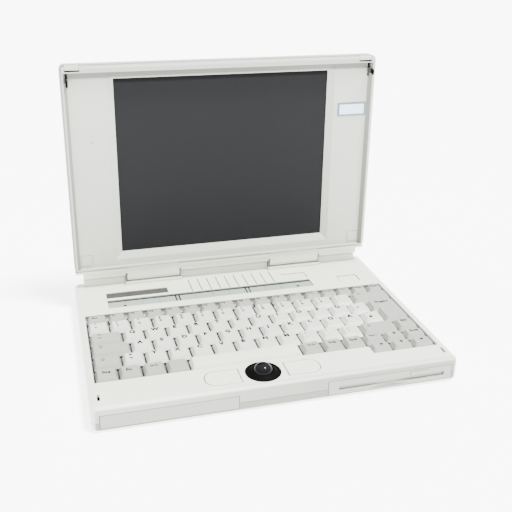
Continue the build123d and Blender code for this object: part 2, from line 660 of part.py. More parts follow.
# Floppy drive: a flat case with the disk slot and a pocket for the eject stem
with BuildPart() as floppy_drive:
    block((38.5, 140.8), (-101.5, 28), (4, INSIDE_TOP_Z))
    block((SLOT_LEFT, SLOT_RIGHT), (-102.5, -7), (SLOT_LOW_Z, SLOT_HIGH_Z), mode=Mode.SUBTRACT)
    block((111, 117), (-102.5, -97), (12, 15), mode=Mode.SUBTRACT)
    with BuildSketch(flat(4)):
        with Locations((90, 10)):
            Circle(16)
    extrude(amount=1, mode=Mode.SUBTRACT)
save(floppy_drive, "floppy_drive")

# Floppy bezel with its finger scoop, slot and eject hole
with BuildPart() as floppy_bezel:
    block((DRIVE_LEFT, DRIVE_RIGHT), (BEZEL_FRONT, BEZEL_BACK), (DRIVE_LOW_Z, DRIVE_HIGH_Z))
    fillet(floppy_bezel.faces().sort_by(Axis.Y)[0].edges(), 0.6)
    block((SLOT_LEFT, SLOT_RIGHT), (BEZEL_FRONT - 1, BEZEL_BACK + 1), (SLOT_LOW_Z, SLOT_HIGH_Z),
          mode=Mode.SUBTRACT)
    block((EJECT_LEFT, EJECT_RIGHT), (BEZEL_FRONT - 1, BEZEL_BACK + 1), (EJECT_LOW_Z, EJECT_HIGH_Z),
          mode=Mode.SUBTRACT)
    with Locations((87.8, BEZEL_FRONT + 1.44 - 100, SLOT_LOW_Z)):
        Cylinder(100, 5.6, mode=Mode.SUBTRACT)
    with BuildSketch(across(SLOT_LEFT - 0.9, FLAP_Y, FLAP_Z)):
        Circle(0.35)
    extrude(amount=SLOT_RIGHT - SLOT_LEFT + 1.8, mode=Mode.SUBTRACT)
save(floppy_bezel, "floppy_bezel")

# Dust flap that hangs on two small pins in the slot
with BuildPart() as floppy_flap:
    block((SLOT_LEFT + 0.3, SLOT_RIGHT - 0.3), (FLAP_Y - 0.4, FLAP_Y + 0.4), (SLOT_LOW_Z + 0.2, FLAP_Z))
    with BuildSketch(across(SLOT_LEFT + 0.3, FLAP_Y, FLAP_Z)):
        Circle(0.4)
    extrude(amount=SLOT_RIGHT - SLOT_LEFT - 0.6)
    with BuildSketch(across(SLOT_LEFT - 0.7, FLAP_Y, FLAP_Z)):
        Circle(0.3)
    extrude(amount=SLOT_RIGHT - SLOT_LEFT + 1.4)
save(floppy_flap, "floppy_flap")

# Eject button with its stem
with BuildPart() as eject_button:
    block((EJECT_LEFT + 0.25, EJECT_RIGHT - 0.25), (-109.4, -106.4), (EJECT_LOW_Z + 0.2, EJECT_HIGH_Z - 0.2))
    fillet(eject_button.faces().sort_by(Axis.Y)[0].edges(), 0.4)
    block((112, 116), (-106.4, -101), (12.5, 14.5))
save(eject_button, "eject_button")

# Battery pack: a front face that closes the bay, and the case of the cells behind it
with BuildPart() as battery_pack:
    block((PACK_LEFT, PACK_RIGHT), (BASE_FRONT, BASE_FRONT + 4), (PACK_LOW_Z, PACK_HIGH_Z))
    fillet(battery_pack.faces().sort_by(Axis.Y)[0].edges(), 0.5)
    with BuildSketch(upright(BASE_FRONT + 4, -89.4, (PACK_LOW_Z + INSIDE_TOP_Z) / 2)):
        RectangleRounded(102.8, INSIDE_TOP_Z - PACK_LOW_Z, 1.5)
    extrude(amount=-80)
    with BuildSketch(upright(-24.2, -60, 8)):
        with GridLocations(6, 0, 5, 1):
            Rectangle(2, 5)
    extrude(amount=4, mode=Mode.SUBTRACT)
save(battery_pack, "battery_pack")

# Battery latch: a ribbed slide held by its flange in the stepped slot
with BuildPart() as battery_latch:
    block((LATCH_SPAN_X[0] + 0.4, LATCH_SPAN_X[0] + 0.4 + LATCH_LENGTH),
          (LATCH_SPAN_Y[0] + 0.3, LATCH_SPAN_Y[1] - 0.3), (UNDERSIDE_Z + 0.2, LATCH_STEP_Z + 0.2))
    block((LATCH_SPAN_X[0] + 0.4, LATCH_SPAN_X[0] + 0.4 + LATCH_LENGTH),
          (LATCH_SPAN_Y[0] - 1.4, LATCH_SPAN_Y[1] + 1.4), (LATCH_STEP_Z + 0.15, FLOOR_TOP_Z - 0.1))
    with BuildSketch(flat(UNDERSIDE_Z + 0.2)):
        with Locations((LATCH_SPAN_X[0] + 0.4 + LATCH_LENGTH / 2, (LATCH_SPAN_Y[0] + LATCH_SPAN_Y[1]) / 2)):
            with GridLocations(2.4, 0, 6, 1):
                Rectangle(1.0, 7)
    extrude(amount=0.5, mode=Mode.SUBTRACT)
save(battery_latch, "battery_latch")

# Status display behind the deck window
with BuildPart() as status_lcd:
    with BuildSketch(flat(17.8)):
        with Locations(STATUS_PLACE):
            Rectangle(STATUS_SIZE[0] + 7, STATUS_SIZE[1] + 3)
    extrude(amount=1.4)
    with BuildSketch(flat(18)):
        with Locations(STATUS_PLACE):
            Rectangle(STATUS_SIZE[0] - 0.3, STATUS_SIZE[1] - 0.3)
    extrude(amount=20.7 - 18)
save(status_lcd, "status_lcd")

# Label strip with two pairs of grooves and two small notches
with BuildPart() as label_strip:
    with BuildSketch(flat(DECK_Z - STRIP_DEPTH)):
        with Locations((STRIP_PLACE[0], STRIP_PLACE[1] - 0.5)):
            Rectangle(STRIP_SIZE[0] - 0.4, STRIP_SIZE[1] - 1.3)
    extrude(amount=STRIP_TOP_Z - DECK_Z + STRIP_DEPTH)
    with BuildSketch(flat(STRIP_TOP_Z)):
        with Locations((-57.2, STRIP_PLACE[1]), (-56.0, STRIP_PLACE[1]), (10.4, STRIP_PLACE[1]),
                       (11.6, STRIP_PLACE[1])):
            Rectangle(0.4, STRIP_SIZE[1])
    extrude(amount=-0.25, mode=Mode.SUBTRACT)
    with BuildSketch(flat(STRIP_TOP_Z)):
        with Locations((-106.4, 48.2), (62.2, 48.2)):
            Rectangle(2.4, 1.6)
    extrude(amount=-0.6, mode=Mode.SUBTRACT)
save(label_strip, "label_strip")

# Power button with the flange that holds it under the deck
with BuildPart() as power_button:
    with BuildSketch(flat(17.8)):
        with Locations(POWER_PLACE):
            RectangleRounded(POWER_SIZE[0] + 2 * BUTTON_FLANGE, POWER_SIZE[1] + 2 * BUTTON_FLANGE, 2.0)
    extrude(amount=1.2)
    with BuildSketch(flat(19)):
        with Locations(POWER_PLACE):
            RectangleRounded(*POWER_SIZE, 1.0)
    extrude(amount=POWER_TOP_Z - 19)
    chamfer(power_button.faces().sort_by(Axis.Z)[-1].edges(), 0.3)
save(power_button, "power_button")

# Speaker: basket, cone and magnet
with BuildPart() as speaker:
    with BuildSketch(upright(SPEAKER_PLACE[1], SPEAKER_PLACE[0])):
        with BuildLine():
            Polyline((0, 15.6), (4, 15.6), (15.5, 19.2), (18, 19.2), (18, 17.4), (14, 17.4), (10, 14.6),
                     (10, 13.8), (0, 13.8), close=True)
        make_face()
    revolve(axis=Axis((SPEAKER_PLACE[0], SPEAKER_PLACE[1], 0), (0, 0, 1)))
save(speaker, "speaker")


def port_outline(width, height):
    """Face of a plug with slanted sides and round corners, in the sketch being built."""
    slant = height * 0.088
    port = Polygon((-width / 2 + slant, -height / 2), (width / 2 - slant, -height / 2),
                   (width / 2 + slant, height / 2), (-width / 2 - slant, height / 2), align=None)
    fillet(port.vertices(), 1.8)


def port(x, flange, shell, spacing, rows, male):
    """A board connector: flange, shell, insulator, contacts and two hexagonal screw seats."""
    with BuildPart() as plug:
        block((x - flange / 2, x + flange / 2), (PANEL_Y - 1, PANEL_Y), (PORT_Z - 6.25, PORT_Z + 6.25))
        block((x - shell / 2, x + shell / 2), (90, PANEL_Y - 1), (BOARD_TOP_Z, PORT_Z + 4.5))
        with BuildSketch(upright(SHELL_BACK, x, PORT_Z)):
            port_outline(shell, 8.3)
        extrude(amount=SHELL_BACK - PANEL_Y)
        if male:
            with BuildSketch(upright(SHELL_BACK, x, PORT_Z)):
                port_outline(shell - 1.2, 7.1)
            extrude(amount=4.8, mode=Mode.SUBTRACT)
        contact_mode = Mode.ADD if male else Mode.SUBTRACT
        with BuildSketch(upright(SHELL_BACK - 0.6 if male else SHELL_BACK, x, PORT_Z)):
            for row, (count, height) in enumerate(rows):
                with Locations((0, height)):
                    with GridLocations(rows_pitch(male, shell), 0, count, 1):
                        Rectangle(0.9, 0.9)
        extrude(amount=4.4 if male else 3.0, mode=contact_mode)
        with BuildSketch(upright(PANEL_Y + PANEL_THICKNESS, x, PORT_Z)):
            with Locations((-spacing / 2, 0), (spacing / 2, 0)):
                Circle(1.6)
        extrude(amount=PANEL_THICKNESS)
        with BuildSketch(upright(SCREW_SEAT_BACK, x, PORT_Z)):
            with Locations((-spacing / 2, 0), (spacing / 2, 0)):
                RegularPolygon(2.9, 6)
        extrude(amount=SCREW_SEAT_BACK - PANEL_Y - PANEL_THICKNESS)
        with BuildSketch(upright(SCREW_SEAT_BACK, x, PORT_Z)):
            with Locations((-spacing / 2, 0), (spacing / 2, 0)):
                Circle(SCREW_SEAT_HOLE)
        extrude(amount=4.4, mode=Mode.SUBTRACT)
    return plug


def rows_pitch(male, shell):
    """Distance between contacts, smaller on the port with three rows."""
    return 2.77 if male or shell > 30 else 2.29


# Rear connectors with slanted shells
save(port(SERIAL_X, 30.8, 16.9, SMALL_SPACING, ((5, 1.42), (4, -1.42)), True), "serial_port")
save(port(PARALLEL_X, 53.0, 38.4, LARGE_SPACING, ((13, 1.42), (12, -1.42)), False), "parallel_port")
save(port(VIDEO_X, 30.8, 16.4, SMALL_SPACING, ((5, 1.98), (5, 0), (5, -1.98)), False), "video_port")

# Round mouse port with its key and contact holes
with BuildPart() as mouse_port:
    with BuildSketch(upright(SHELL_BACK - 0.8, MOUSE_X, PORT_Z)):
        Circle(5.2)
    extrude(amount=SHELL_BACK - 0.8 - PANEL_Y + 1)
    block((MOUSE_X - 7, MOUSE_X + 7), (91, PANEL_Y - 1), (BOARD_TOP_Z, PORT_Z + 5.5))
    with BuildSketch(upright(SHELL_BACK - 0.8, MOUSE_X, PORT_Z)):
        Circle(4.6)
        Circle(4.1, mode=Mode.SUBTRACT)
    extrude(amount=3, mode=Mode.SUBTRACT)
    with BuildSketch(upright(SHELL_BACK - 0.8, MOUSE_X, PORT_Z)):
        with Locations((0, 0.6)):
            Rectangle(2.2, 1.0)
        with Locations((-2.8, -0.3), (2.8, -0.3), (-2.5, 2.0), (2.5, 2.0), (-1.2, -2.6), (1.2, -2.6)):
            Rectangle(0.9, 0.9)
    extrude(amount=3, mode=Mode.SUBTRACT)
save(mouse_port, "mouse_port")

# Power jack: a round socket with a centre pin
with BuildPart() as power_jack:
    jack_back = PANEL_Y + PANEL_THICKNESS + 2
    block((POWER_JACK_X - 5, POWER_JACK_X + 5), (91, jack_back), (BOARD_TOP_Z, PORT_Z + 5))
    with BuildSketch(upright(jack_back, POWER_JACK_X, PORT_Z)):
        Circle(3.1)
        Circle(1.0, mode=Mode.SUBTRACT)
    extrude(amount=9, mode=Mode.SUBTRACT)
save(power_jack, "power_jack")

# Rear panel: a tray that closes the port window, cut out for the connectors
with BuildPart() as rear_panel:
    block((PORT_WINDOW[0] - 1.7, PORT_WINDOW[1] + 1.7), (PANEL_Y, 105.9),
          (FLOOR_TOP_Z + 0.1, PORT_HIGH_Z + 1.2))
    block((PORT_WINDOW[0] - 0.2, PORT_WINDOW[1] + 0.2), (PANEL_Y + PANEL_THICKNESS, 107),
          (FLOOR_TOP_Z + 1.2, PORT_HIGH_Z), mode=Mode.SUBTRACT)
    with BuildSketch(upright(PANEL_Y + 2, 0, PORT_Z)):
        with Locations((SERIAL_X, 0), (VIDEO_X, 0)):
            Rectangle(18.8, 8.9)
        with Locations((PARALLEL_X, 0)):
            Rectangle(40.4, 8.9)
        with Locations((SERIAL_X - SMALL_SPACING / 2, 0), (SERIAL_X + SMALL_SPACING / 2, 0),
                       (VIDEO_X - SMALL_SPACING / 2, 0), (VIDEO_X + SMALL_SPACING / 2, 0),
                       (PARALLEL_X - LARGE_SPACING / 2, 0), (PARALLEL_X + LARGE_SPACING / 2, 0)):
            Circle(1.7)
        with Locations((MOUSE_X, 0)):
            Circle(5.4)
        with Locations((POWER_JACK_X, 0)):
            Rectangle(10.2, 10.2)
    extrude(amount=3, mode=Mode.SUBTRACT)
save(rear_panel, "rear_panel")

# Trackball, its ring in the deck, its cage below and the roller that it turns
with BuildPart() as trackball:
    with Locations((BALL_X, BALL_Y, BALL_Z)):
        Sphere(BALL_RADIUS, rotation=(0, 90, 0))
save(trackball, "trackball")

with BuildPart() as trackball_ring:
    with BuildSketch(upright(BALL_Y, BALL_X)):
        with BuildLine():
            Polyline((BALL_RADIUS + BALL_PLAY, DECK_UNDER_Z), (RING_RADIUS, DECK_UNDER_Z),
                     (RING_RADIUS, DECK_Z - 0.1), (RING_SHOULDER, DECK_Z - 0.1), (RING_CREST, RING_TOP_Z),
                     (RING_MOUTH, RING_TOP_Z), (BALL_RADIUS + BALL_PLAY, BALL_Z), close=True)
        make_face()
    revolve(axis=Axis((BALL_X, BALL_Y, 0), (0, 0, 1)))
save(trackball_ring, "trackball_ring")

with BuildPart() as trackball_cage:
    with BuildSketch(flat(8)):
        with Locations((BALL_X, BALL_Y)):
            Circle(12.5)
    extrude(amount=CAGE_TOP_Z - 8)
    block((BALL_X - CAGE_HALF, BALL_X + CAGE_HALF), (BALL_Y - 4, BALL_Y + 4), (CAGE_TOP_Z - 1.8, CAGE_TOP_Z))
    with BuildSketch(upright(BALL_Y, BALL_X)):
        with BuildLine():
            Polyline((0, CUP_FLOOR_Z), (CUP_FLOOR_RADIUS, CUP_FLOOR_Z), (CUP_RADIUS, CUP_SIDE_Z),
                     (CUP_RADIUS, CAGE_TOP_Z), (0, CAGE_TOP_Z), close=True)
        make_face()
    revolve(axis=Axis((BALL_X, BALL_Y, 0), (0, 0, 1)), mode=Mode.SUBTRACT)
    with BuildSketch(across(BALL_X - 2.6, ROLLER_Y, ROLLER_Z)):
        Circle(ROLLER_RADIUS + 0.5)
    extrude(amount=5.2, mode=Mode.SUBTRACT)
    with BuildSketch(across(BALL_X - 8.2, ROLLER_Y, ROLLER_Z)):
        Circle(ROLLER_SHAFT + 0.05)
    extrude(amount=16.4, mode=Mode.SUBTRACT)
save(trackball_cage, "trackball_cage")

with BuildPart() as ball_roller:
    with BuildSketch(across(BALL_X - 2.2, ROLLER_Y, ROLLER_Z)):
        Circle(ROLLER_RADIUS)
    extrude(amount=4.4)
    with BuildSketch(across(BALL_X - 7.5, ROLLER_Y, ROLLER_Z)):
        Circle(ROLLER_SHAFT)
    extrude(amount=15)
save(ball_roller, "ball_roller")

# Click buttons with the flanges that hold them under the deck
for name, button in (("left", LEFT_BUTTON), ("right", RIGHT_BUTTON)):
    with BuildPart() as click_button:
        with BuildSketch(flat(17.9)):
            click_outline(*button, BUTTON_FLANGE)
        extrude(amount=1.1)
        with BuildSketch(flat(19)):
            click_outline(*button)
        extrude(amount=2.9)
        chamfer(click_button.faces().sort_by(Axis.Z)[-1].edges(), 0.4)
        with BuildSketch(flat(14.5)):
            with Locations(((button[0] + button[1]) / 2, (BUTTON_FRONT + BUTTON_BACK) / 2)):
                Rectangle(4, 4)
        extrude(amount=3.4)
    save(click_button, f"click_button_{name}")

# Hinge pins, and the brackets that hold them in the base
with BuildPart() as hinge_pins:
    for side in (-1, 1):
        span = mirrored_span(side, EAR_INNER, EAR_OUTER)
        with BuildSketch(across(span[0], AXIS_Y, AXIS_Z)):
            Circle(PIN_RADIUS)
        extrude(amount=span[1] - span[0])
save(hinge_pins, "hinge_pins")

with BuildPart() as hinge_brackets:
    for side in (-1, 1):
        block(mirrored_span(side, EAR_INNER - EAR_GAP, EAR_OUTER + EAR_GAP), (88.5, 104), (17.3, 19.1))
        for low in (EAR_INNER, EAR_OUTER - EAR):
            ear = mirrored_span(side, low, low + EAR)
            with BuildSketch(across(ear[0], AXIS_Y, AXIS_Z)):
                Circle(EAR_RADIUS)
                with Locations((0, (19.1 - AXIS_Z) / 2)):
                    Rectangle(2 * EAR_RADIUS, AXIS_Z - 19.1)
                Circle(PIN_RADIUS, mode=Mode.SUBTRACT)
            extrude(amount=EAR)
save(hinge_brackets, "hinge_brackets")

# Hinge covers of the lid: barrels that turn on the pins, with necks up to the lid
with BuildPart() as hinge_covers:
    for side in (-1, 1):
        span = mirrored_span(side, BARREL_INNER, BARREL_OUTER)
        with BuildSketch(across(span[0], AXIS_Y, AXIS_Z)):
            Circle(BARREL_RADIUS)
            with Locations(((NECK_BACK - BARREL_RADIUS) / 2, (LID_BOTTOM_Z - AXIS_Z) / 2)):
                Rectangle(NECK_BACK + BARREL_RADIUS, LID_BOTTOM_Z - AXIS_Z)
            Circle(PIN_RADIUS + PIN_PLAY, mode=Mode.SUBTRACT)
        extrude(amount=span[1] - span[0])
save(hinge_covers, "hinge_covers")

# Lid back cover: a hollow shell with a slanted foot, a lip below the bezel and the bar that drops
# behind the deck
with BuildPart() as lid_back_cover:
    with BuildSketch(upright(LID_SPLIT_Y, 0, LID_MIDDLE_Z)):
        RectangleRounded(LID_WIDTH, LID_HEIGHT, LID_CORNER)
    extrude(amount=-(LID_BACK_Y - LID_SPLIT_Y))
    fillet(lid_back_cover.faces().sort_by(Axis.Y)[-1].edges(), LID_BACK_EDGE)
    chamfer(lid_back_cover.faces().sort_by(Axis.Y)[0].edges(), SEAM)
    with BuildSketch(across(-LID_WIDTH)):
        Polygon((AXIS_Y + BARREL_RADIUS, LID_BOTTOM_Z), (AXIS_Y + 30, LID_BOTTOM_Z),
                (AXIS_Y + 30, 50 + 1.72 * 19.1), (LID_BACK_Y, 50), align=None)
    extrude(amount=2 * LID_WIDTH, mode=Mode.SUBTRACT)
    with BuildSketch(upright(LID_SPLIT_Y, 0, LID_MIDDLE_Z)):
        RectangleRounded(LID_WIDTH - 2 * WALL, LID_HEIGHT - 2 * WALL, LID_CORNER - WALL)
    extrude(amount=-6, mode=Mode.SUBTRACT)
    block((WALL - LID_WIDTH / 2, LID_WIDTH / 2 - WALL), (LID_SPLIT_Y + 5, LID_BACK_Y - WALL),
          (48.5, LID_TOP_Z - WALL), mode=Mode.SUBTRACT)
    block((-BAR_HALF, BAR_HALF), (BAR_FRONT, AXIS_Y + BARREL_RADIUS), (BAR_LOW_Z, LID_BOTTOM_Z))
    block((-LIP_HALF, LIP_HALF), (LIP_FRONT, AXIS_Y + BARREL_RADIUS), (LIP_LOW_Z, LID_BOTTOM_Z - LIP_GAP))
    block((-LIP_HALF, LIP_HALF), (LID_SPLIT_Y + 0.5, AXIS_Y + BARREL_RADIUS),
          (LIP_LOW_Z, LID_BOTTOM_Z + 0.5))
    with BuildSketch(across(-LID_WIDTH)):
        Polygon((AXIS_Y, AXIS_Z), (AXIS_Y + 8, AXIS_Z), (AXIS_Y + 8, AXIS_Z + 8), align=None)
    extrude(amount=2 * LID_WIDTH, mode=Mode.SUBTRACT)
    for side in (-1, 1):
        block(mirrored_span(side, BARREL_INNER, BARREL_OUTER), (90, 106), (AXIS_Z - 1, LID_BOTTOM_Z),
              mode=Mode.SUBTRACT)
        block(mirrored_span(side, EAR_INNER - EAR_GAP, EAR_OUTER + EAR_GAP), (90, 106),
              (AXIS_Z - 1, AXIS_Z + EAR_RADIUS + 1), mode=Mode.SUBTRACT)
        block(mirrored_span(side, SLIDER_INNER - 0.3, SLIDER_OUTER + 0.3), (LID_FACE_Y - 1, 104.3),
              (SLIDER_LOW_Z - 1.5, LID_TOP_Z + 1), mode=Mode.SUBTRACT)
save(lid_back_cover, "lid_back_cover")

# Lid bezel: a raised rim, a sunk face and a funnel down to the screen
with BuildPart() as lid_bezel:
    with BuildSketch(upright(LID_SPLIT_Y, 0, LID_MIDDLE_Z)):
        RectangleRounded(LID_WIDTH, LID_HEIGHT, LID_CORNER)
    extrude(amount=LID_SPLIT_Y - LID_FACE_Y)
    fillet(lid_bezel.faces().sort_by(Axis.Y)[0].edges(), RIM_ROUND)
    chamfer(lid_bezel.faces().sort_by(Axis.Y)[-1].edges(), SEAM)
    with BuildSketch(upright(LID_SPLIT_Y, 0, LID_MIDDLE_Z)):
        RectangleRounded(LID_WIDTH - 2 * WALL - 0.2, LID_HEIGHT - 2 * WALL - 0.2, LID_CORNER - WALL)
    extrude(amount=-(BEZEL_REAR_Y - LID_SPLIT_Y))
    rim_half = LID_WIDTH / 2 - RIM_WIDTH
    with BuildSketch(flat(RECESS_LOW_Z)):
        Polygon((RIM_SLANT - rim_half, RECESS_Y), (-rim_half, LID_FACE_Y), (-rim_half, LID_FACE_Y - 1),
                (rim_half, LID_FACE_Y - 1), (rim_half, LID_FACE_Y), (rim_half - RIM_SLANT, RECESS_Y),
                align=None)
    extrude(amount=RECESS_HIGH_Z - RECESS_LOW_Z, mode=Mode.SUBTRACT)
    with BuildSketch(upright(RECESS_Y, 0, SCREEN_MIDDLE_Z)):
        Rectangle(2 * (SCREEN_HALF + FUNNEL), SCREEN_HEIGHT + 2 * FUNNEL)
    with BuildSketch(upright(RECESS_Y + FUNNEL_DEPTH, 0, SCREEN_MIDDLE_Z)):
        Rectangle(2 * SCREEN_HALF, SCREEN_HEIGHT)
    loft(mode=Mode.SUBTRACT)
    with BuildSketch(upright(BEZEL_REAR_Y + 1, 0, SCREEN_MIDDLE_Z)):
        Rectangle(2 * SCREEN_HALF, SCREEN_HEIGHT)
    extrude(amount=3, mode=Mode.SUBTRACT)
    with BuildSketch(upright(BEZEL_REAR_Y, 0, LID_MIDDLE_Z)):
        Rectangle(286.8, 191)
        with Locations((0, SCREEN_MIDDLE_Z - LID_MIDDLE_Z + 0.1)):
            Rectangle(222, 185.5, mode=Mode.SUBTRACT)
    extrude(amount=BEZEL_REAR_Y - RECESS_Y - 2, mode=Mode.SUBTRACT)
    for side in (-1, 1):
        hook = mirrored_span(side, HOOK_X - HOOK_WIDTH / 2 - HOOK_GAP, HOOK_X + HOOK_WIDTH / 2 + HOOK_GAP)
        block(hook, (LID_FACE_Y - 1, BEZEL_REAR_Y + 1), (HOOK_LOW_Z - 4, RECESS_HIGH_Z), mode=Mode.SUBTRACT)
        block(mirrored_span(side, SLIDER_INNER - 0.3, SLIDER_OUTER + 0.3), (LID_FACE_Y - 1, 104.3),
              (SLIDER_LOW_Z - 1.5, LID_TOP_Z + 1), mode=Mode.SUBTRACT)
    with BuildSketch(upright(RECESS_Y + 1, -123.8, 165.9)):
        Circle(0.9)
    extrude(amount=2, mode=Mode.SUBTRACT)
    # Thin grooves around the pads and the bare plate
    with BuildSketch(upright(RECESS_Y + LINE_DEPTH, 0, 0)):
        with Locations((-PAD_X, PAD_Z), (PAD_X, PAD_Z)):
            Rectangle(PAD_SIZE + 2 * LINE, PAD_SIZE + 2 * LINE)
            Rectangle(PAD_SIZE, PAD_SIZE, mode=Mode.SUBTRACT)
        with Locations(BADGE_PLACE):
            RectangleRounded(BADGE_SIZE[0] + 2 * LINE, BADGE_SIZE[1] + 2 * LINE, 1.0 + LINE)
            RectangleRounded(*BADGE_SIZE, 1.0, mode=Mode.SUBTRACT)
    extrude(amount=LINE_DEPTH, mode=Mode.SUBTRACT)
save(lid_bezel, "lid_bezel")

# Screen panel with a thin raised edge around its picture area
with BuildPart() as lcd_panel:
    block((-106.6, 106.6), (GLASS_Y, GLASS_Y + 6), (SCREEN_LOW_Z - 4, SCREEN_HIGH_Z + 4))
    block((-94, 94), (GLASS_Y + 5, GLASS_Y + 7), (SCREEN_LOW_Z + 8, SCREEN_HIGH_Z - 8), mode=Mode.SUBTRACT)
save(lcd_panel, "lcd_panel")

# Lamp board under the screen
with BuildPart() as lamp_board:
    block((-100, 100), (101.2, 102.2), (42.8, 48.2))
    block((20, 58), (102.2, 103.8), (43.2, 47.8))
    block((-70, -58), (102.2, 103.6), (43.6, 47.4))
save(lamp_board, "lamp_board")

# Bare plate at the right of the screen
with BuildPart() as badge_plate:
    with BuildSketch(upright(RECESS_Y, *BADGE_PLACE)):
        RectangleRounded(*BADGE_SIZE, 1.0)
    extrude(amount=0.5)
save(badge_plate, "badge_plate")

# Square pads on the bezel
with BuildPart() as lid_pads:
    with BuildSketch(upright(RECESS_Y, 0, PAD_Z)):
        with Locations((-PAD_X, 0), (PAD_X, 0)):
            Rectangle(PAD_SIZE, PAD_SIZE)
    extrude(amount=0.5)
save(lid_pads, "lid_pads")

# Catches: a slider in the lid's top edge moves a hook that reaches into the deck
for name, side in (("left", -1), ("right", 1)):
    with BuildPart() as latch_button:
        block(mirrored_span(side, SLIDER_INNER, SLIDER_OUTER), (LID_FACE_Y + 0.2, 104),
              (SLIDER_LOW_Z, LID_TOP_Z - 0.1))
        fillet(latch_button.edges().filter_by(Axis.X).group_by(Axis.Z)[-1].sort_by(Axis.Y)[0], 1.5)
        with BuildSketch(flat(LID_TOP_Z, side * (SLIDER_INNER + SLIDER_OUTER) / 2, 98.2)):
            with GridLocations(2.4, 0, 4, 1):
                Rectangle(0.8, 8)
        extrude(amount=-0.6, mode=Mode.SUBTRACT)
    save(latch_button, f"latch_button_{name}")
    with BuildPart() as latch_hook:
        hook = mirrored_span(side, HOOK_X - HOOK_WIDTH / 2, HOOK_X + HOOK_WIDTH / 2)
        with BuildSketch(across(hook[0])):
            Polygon((103.8, 216), (103.8, SLIDER_LOW_Z), (101.4, SLIDER_LOW_Z), (101.4, HOOK_HIGH_Z),
                    (HOOK_Y + 1.6, HOOK_HIGH_Z), (HOOK_Y, HOOK_HIGH_Z - 1.2), (HOOK_Y, HOOK_LOW_Z + 0.4),
                    (HOOK_Y + 1, HOOK_LOW_Z - 1.2), (HOOK_Y + 2.6, HOOK_LOW_Z - 1.2),
                    (HOOK_Y + 2.6, HOOK_LOW_Z), (101.4, HOOK_LOW_Z), (101.4, 216), align=None)
        extrude(amount=HOOK_WIDTH)
    save(latch_hook, f"latch_hook_{name}")
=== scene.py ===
import json
import math

import bpy
from mathutils import Matrix, Vector


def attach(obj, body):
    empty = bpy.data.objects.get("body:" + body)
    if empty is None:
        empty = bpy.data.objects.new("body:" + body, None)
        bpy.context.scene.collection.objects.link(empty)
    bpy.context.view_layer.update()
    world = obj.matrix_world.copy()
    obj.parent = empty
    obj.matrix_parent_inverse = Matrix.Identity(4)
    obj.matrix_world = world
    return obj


bl_info = {
    "name": "Open portable computer",
    "version": (1, 0, 0),
    "blender": (4, 5, 0),
    "location": "View3D > Sidebar > Laptop",
    "description": "Finishes, legends and small prints of a portable computer with a trackball, "
                   "on a pale studio floor",
    "category": "Object",
}

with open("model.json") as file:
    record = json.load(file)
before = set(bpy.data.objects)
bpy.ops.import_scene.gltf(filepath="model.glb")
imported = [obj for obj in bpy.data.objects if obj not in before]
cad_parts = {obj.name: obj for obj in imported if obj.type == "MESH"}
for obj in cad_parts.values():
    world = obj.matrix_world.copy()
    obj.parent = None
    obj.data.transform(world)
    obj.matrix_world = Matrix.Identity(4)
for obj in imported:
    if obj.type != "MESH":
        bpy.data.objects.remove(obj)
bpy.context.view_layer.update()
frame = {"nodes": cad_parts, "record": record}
MM = 0.001

# Keyboard grid, as in the part's source, in millimetres
KEY_PITCH = 19.0
KEYBOARD_LEFT = -143.2
ROW_FRONT = 3.2
FUNCTION_FRONT = 22.5
FUNCTION_DEPTH = 13.2
ARROW_DEPTH = 15.0
KEY_TOP = 23.0
STRIP_TOP = 20.7

# Prints, in millimetres: their thickness, how far above the keys a legend is made before it is
# laid down, the gap left under it then, and the gap left under the bars of the label strip
PRINT_THICKNESS = 0.04
PRINT_START = 2
LAY_GAP = 0.005
STRIP_GAP = 0.01

# Words and arrows: steps of a letter's curves, then fractions of a letter's height or a head
LETTER_STEPS = 2
WORD_STROKE = 0.045
LETTER_STROKE = 0.06
WORD_HEIGHT = 0.80
LETTER_WIDTH = 0.60
SMALL_LETTER = 0.8
LINE_STEP = 0.85
ARROW_RADIUS = 0.6
ARROW_BACK = 0.3
TAIL_WIDTH = 0.34

# Legends, in millimetres: room kept free on the right of a key, and the shift of the lower
# arrow of the Tab key
FREE_ROOM = 3.0
TAB_SHIFT = 1.4

# Grain and cloudiness of moulded plastic: the noise patterns, the depth of the grain in metres,
# and how much each of them changes the roughness
GRAIN_DETAIL = 3.0
GRAIN_HARSHNESS = 0.6
GRAIN_DEPTH = 0.00006
GRAIN_DULLING = 0.10
CLOUD_SCALE = 22.0
CLOUD_HARSHNESS = 0.55
CLOUD_DULLING = 0.06

# Limits of the places with painted shade, painted shadow or painted light, and of a few other
# darker places, in metres along the axes of the frame, and the half width of a hard and of a
# slightly soft limit
SHARP = 0.00002
EDGE_BLUR = 0.0003
RECESS_WALL_X, RECESS_WALL_Y = 0.1424, 0.0931
CEILING_Z, CEILING_Y = 0.2238, 0.0950
RIM_LOW_Z, RIM_HIGH_Z, RIM_REAR_Y = 0.2270, 0.2335, 0.0938
CREST_X, CREST_Y = -0.1464, 0.0960
FLANK_X = 0.1474
LID_TOP_Z = 0.2355
SCREEN_TOP_Z = 0.2188
HOOK_TIP_Y = 0.0898
GAP_LOW_Z, GAP_HIGH_Z = 0.0150, 0.0214
PLATE_BED_LOW_Z, PLATE_BED_HIGH_Z = 0.02062, 0.02078
GAPS_LEFT_X, GAPS_RIGHT_X = -0.1446, 0.1425
GAPS_FRONT_Y, GAPS_REAR_Y = -0.0995, 0.0915
SOCKET_X, SOCKET_Y = 0.1250, -0.0800
FRONT_EDGE_Y, FRONT_EDGE_X = -0.1040, -0.0300
FRONT_FACE_Y = -0.1076
FLANGE_Z = 0.0209
FEET_Z, FEET_X = 0.0190, 0.0600
SLOPES_LOW_Z, SLOPES_HIGH_Z, SLOPES_X = 0.0188, 0.0222, 0.0200
ROW_FADE = 0.0700
WELL_REAR_Y = 0.0330
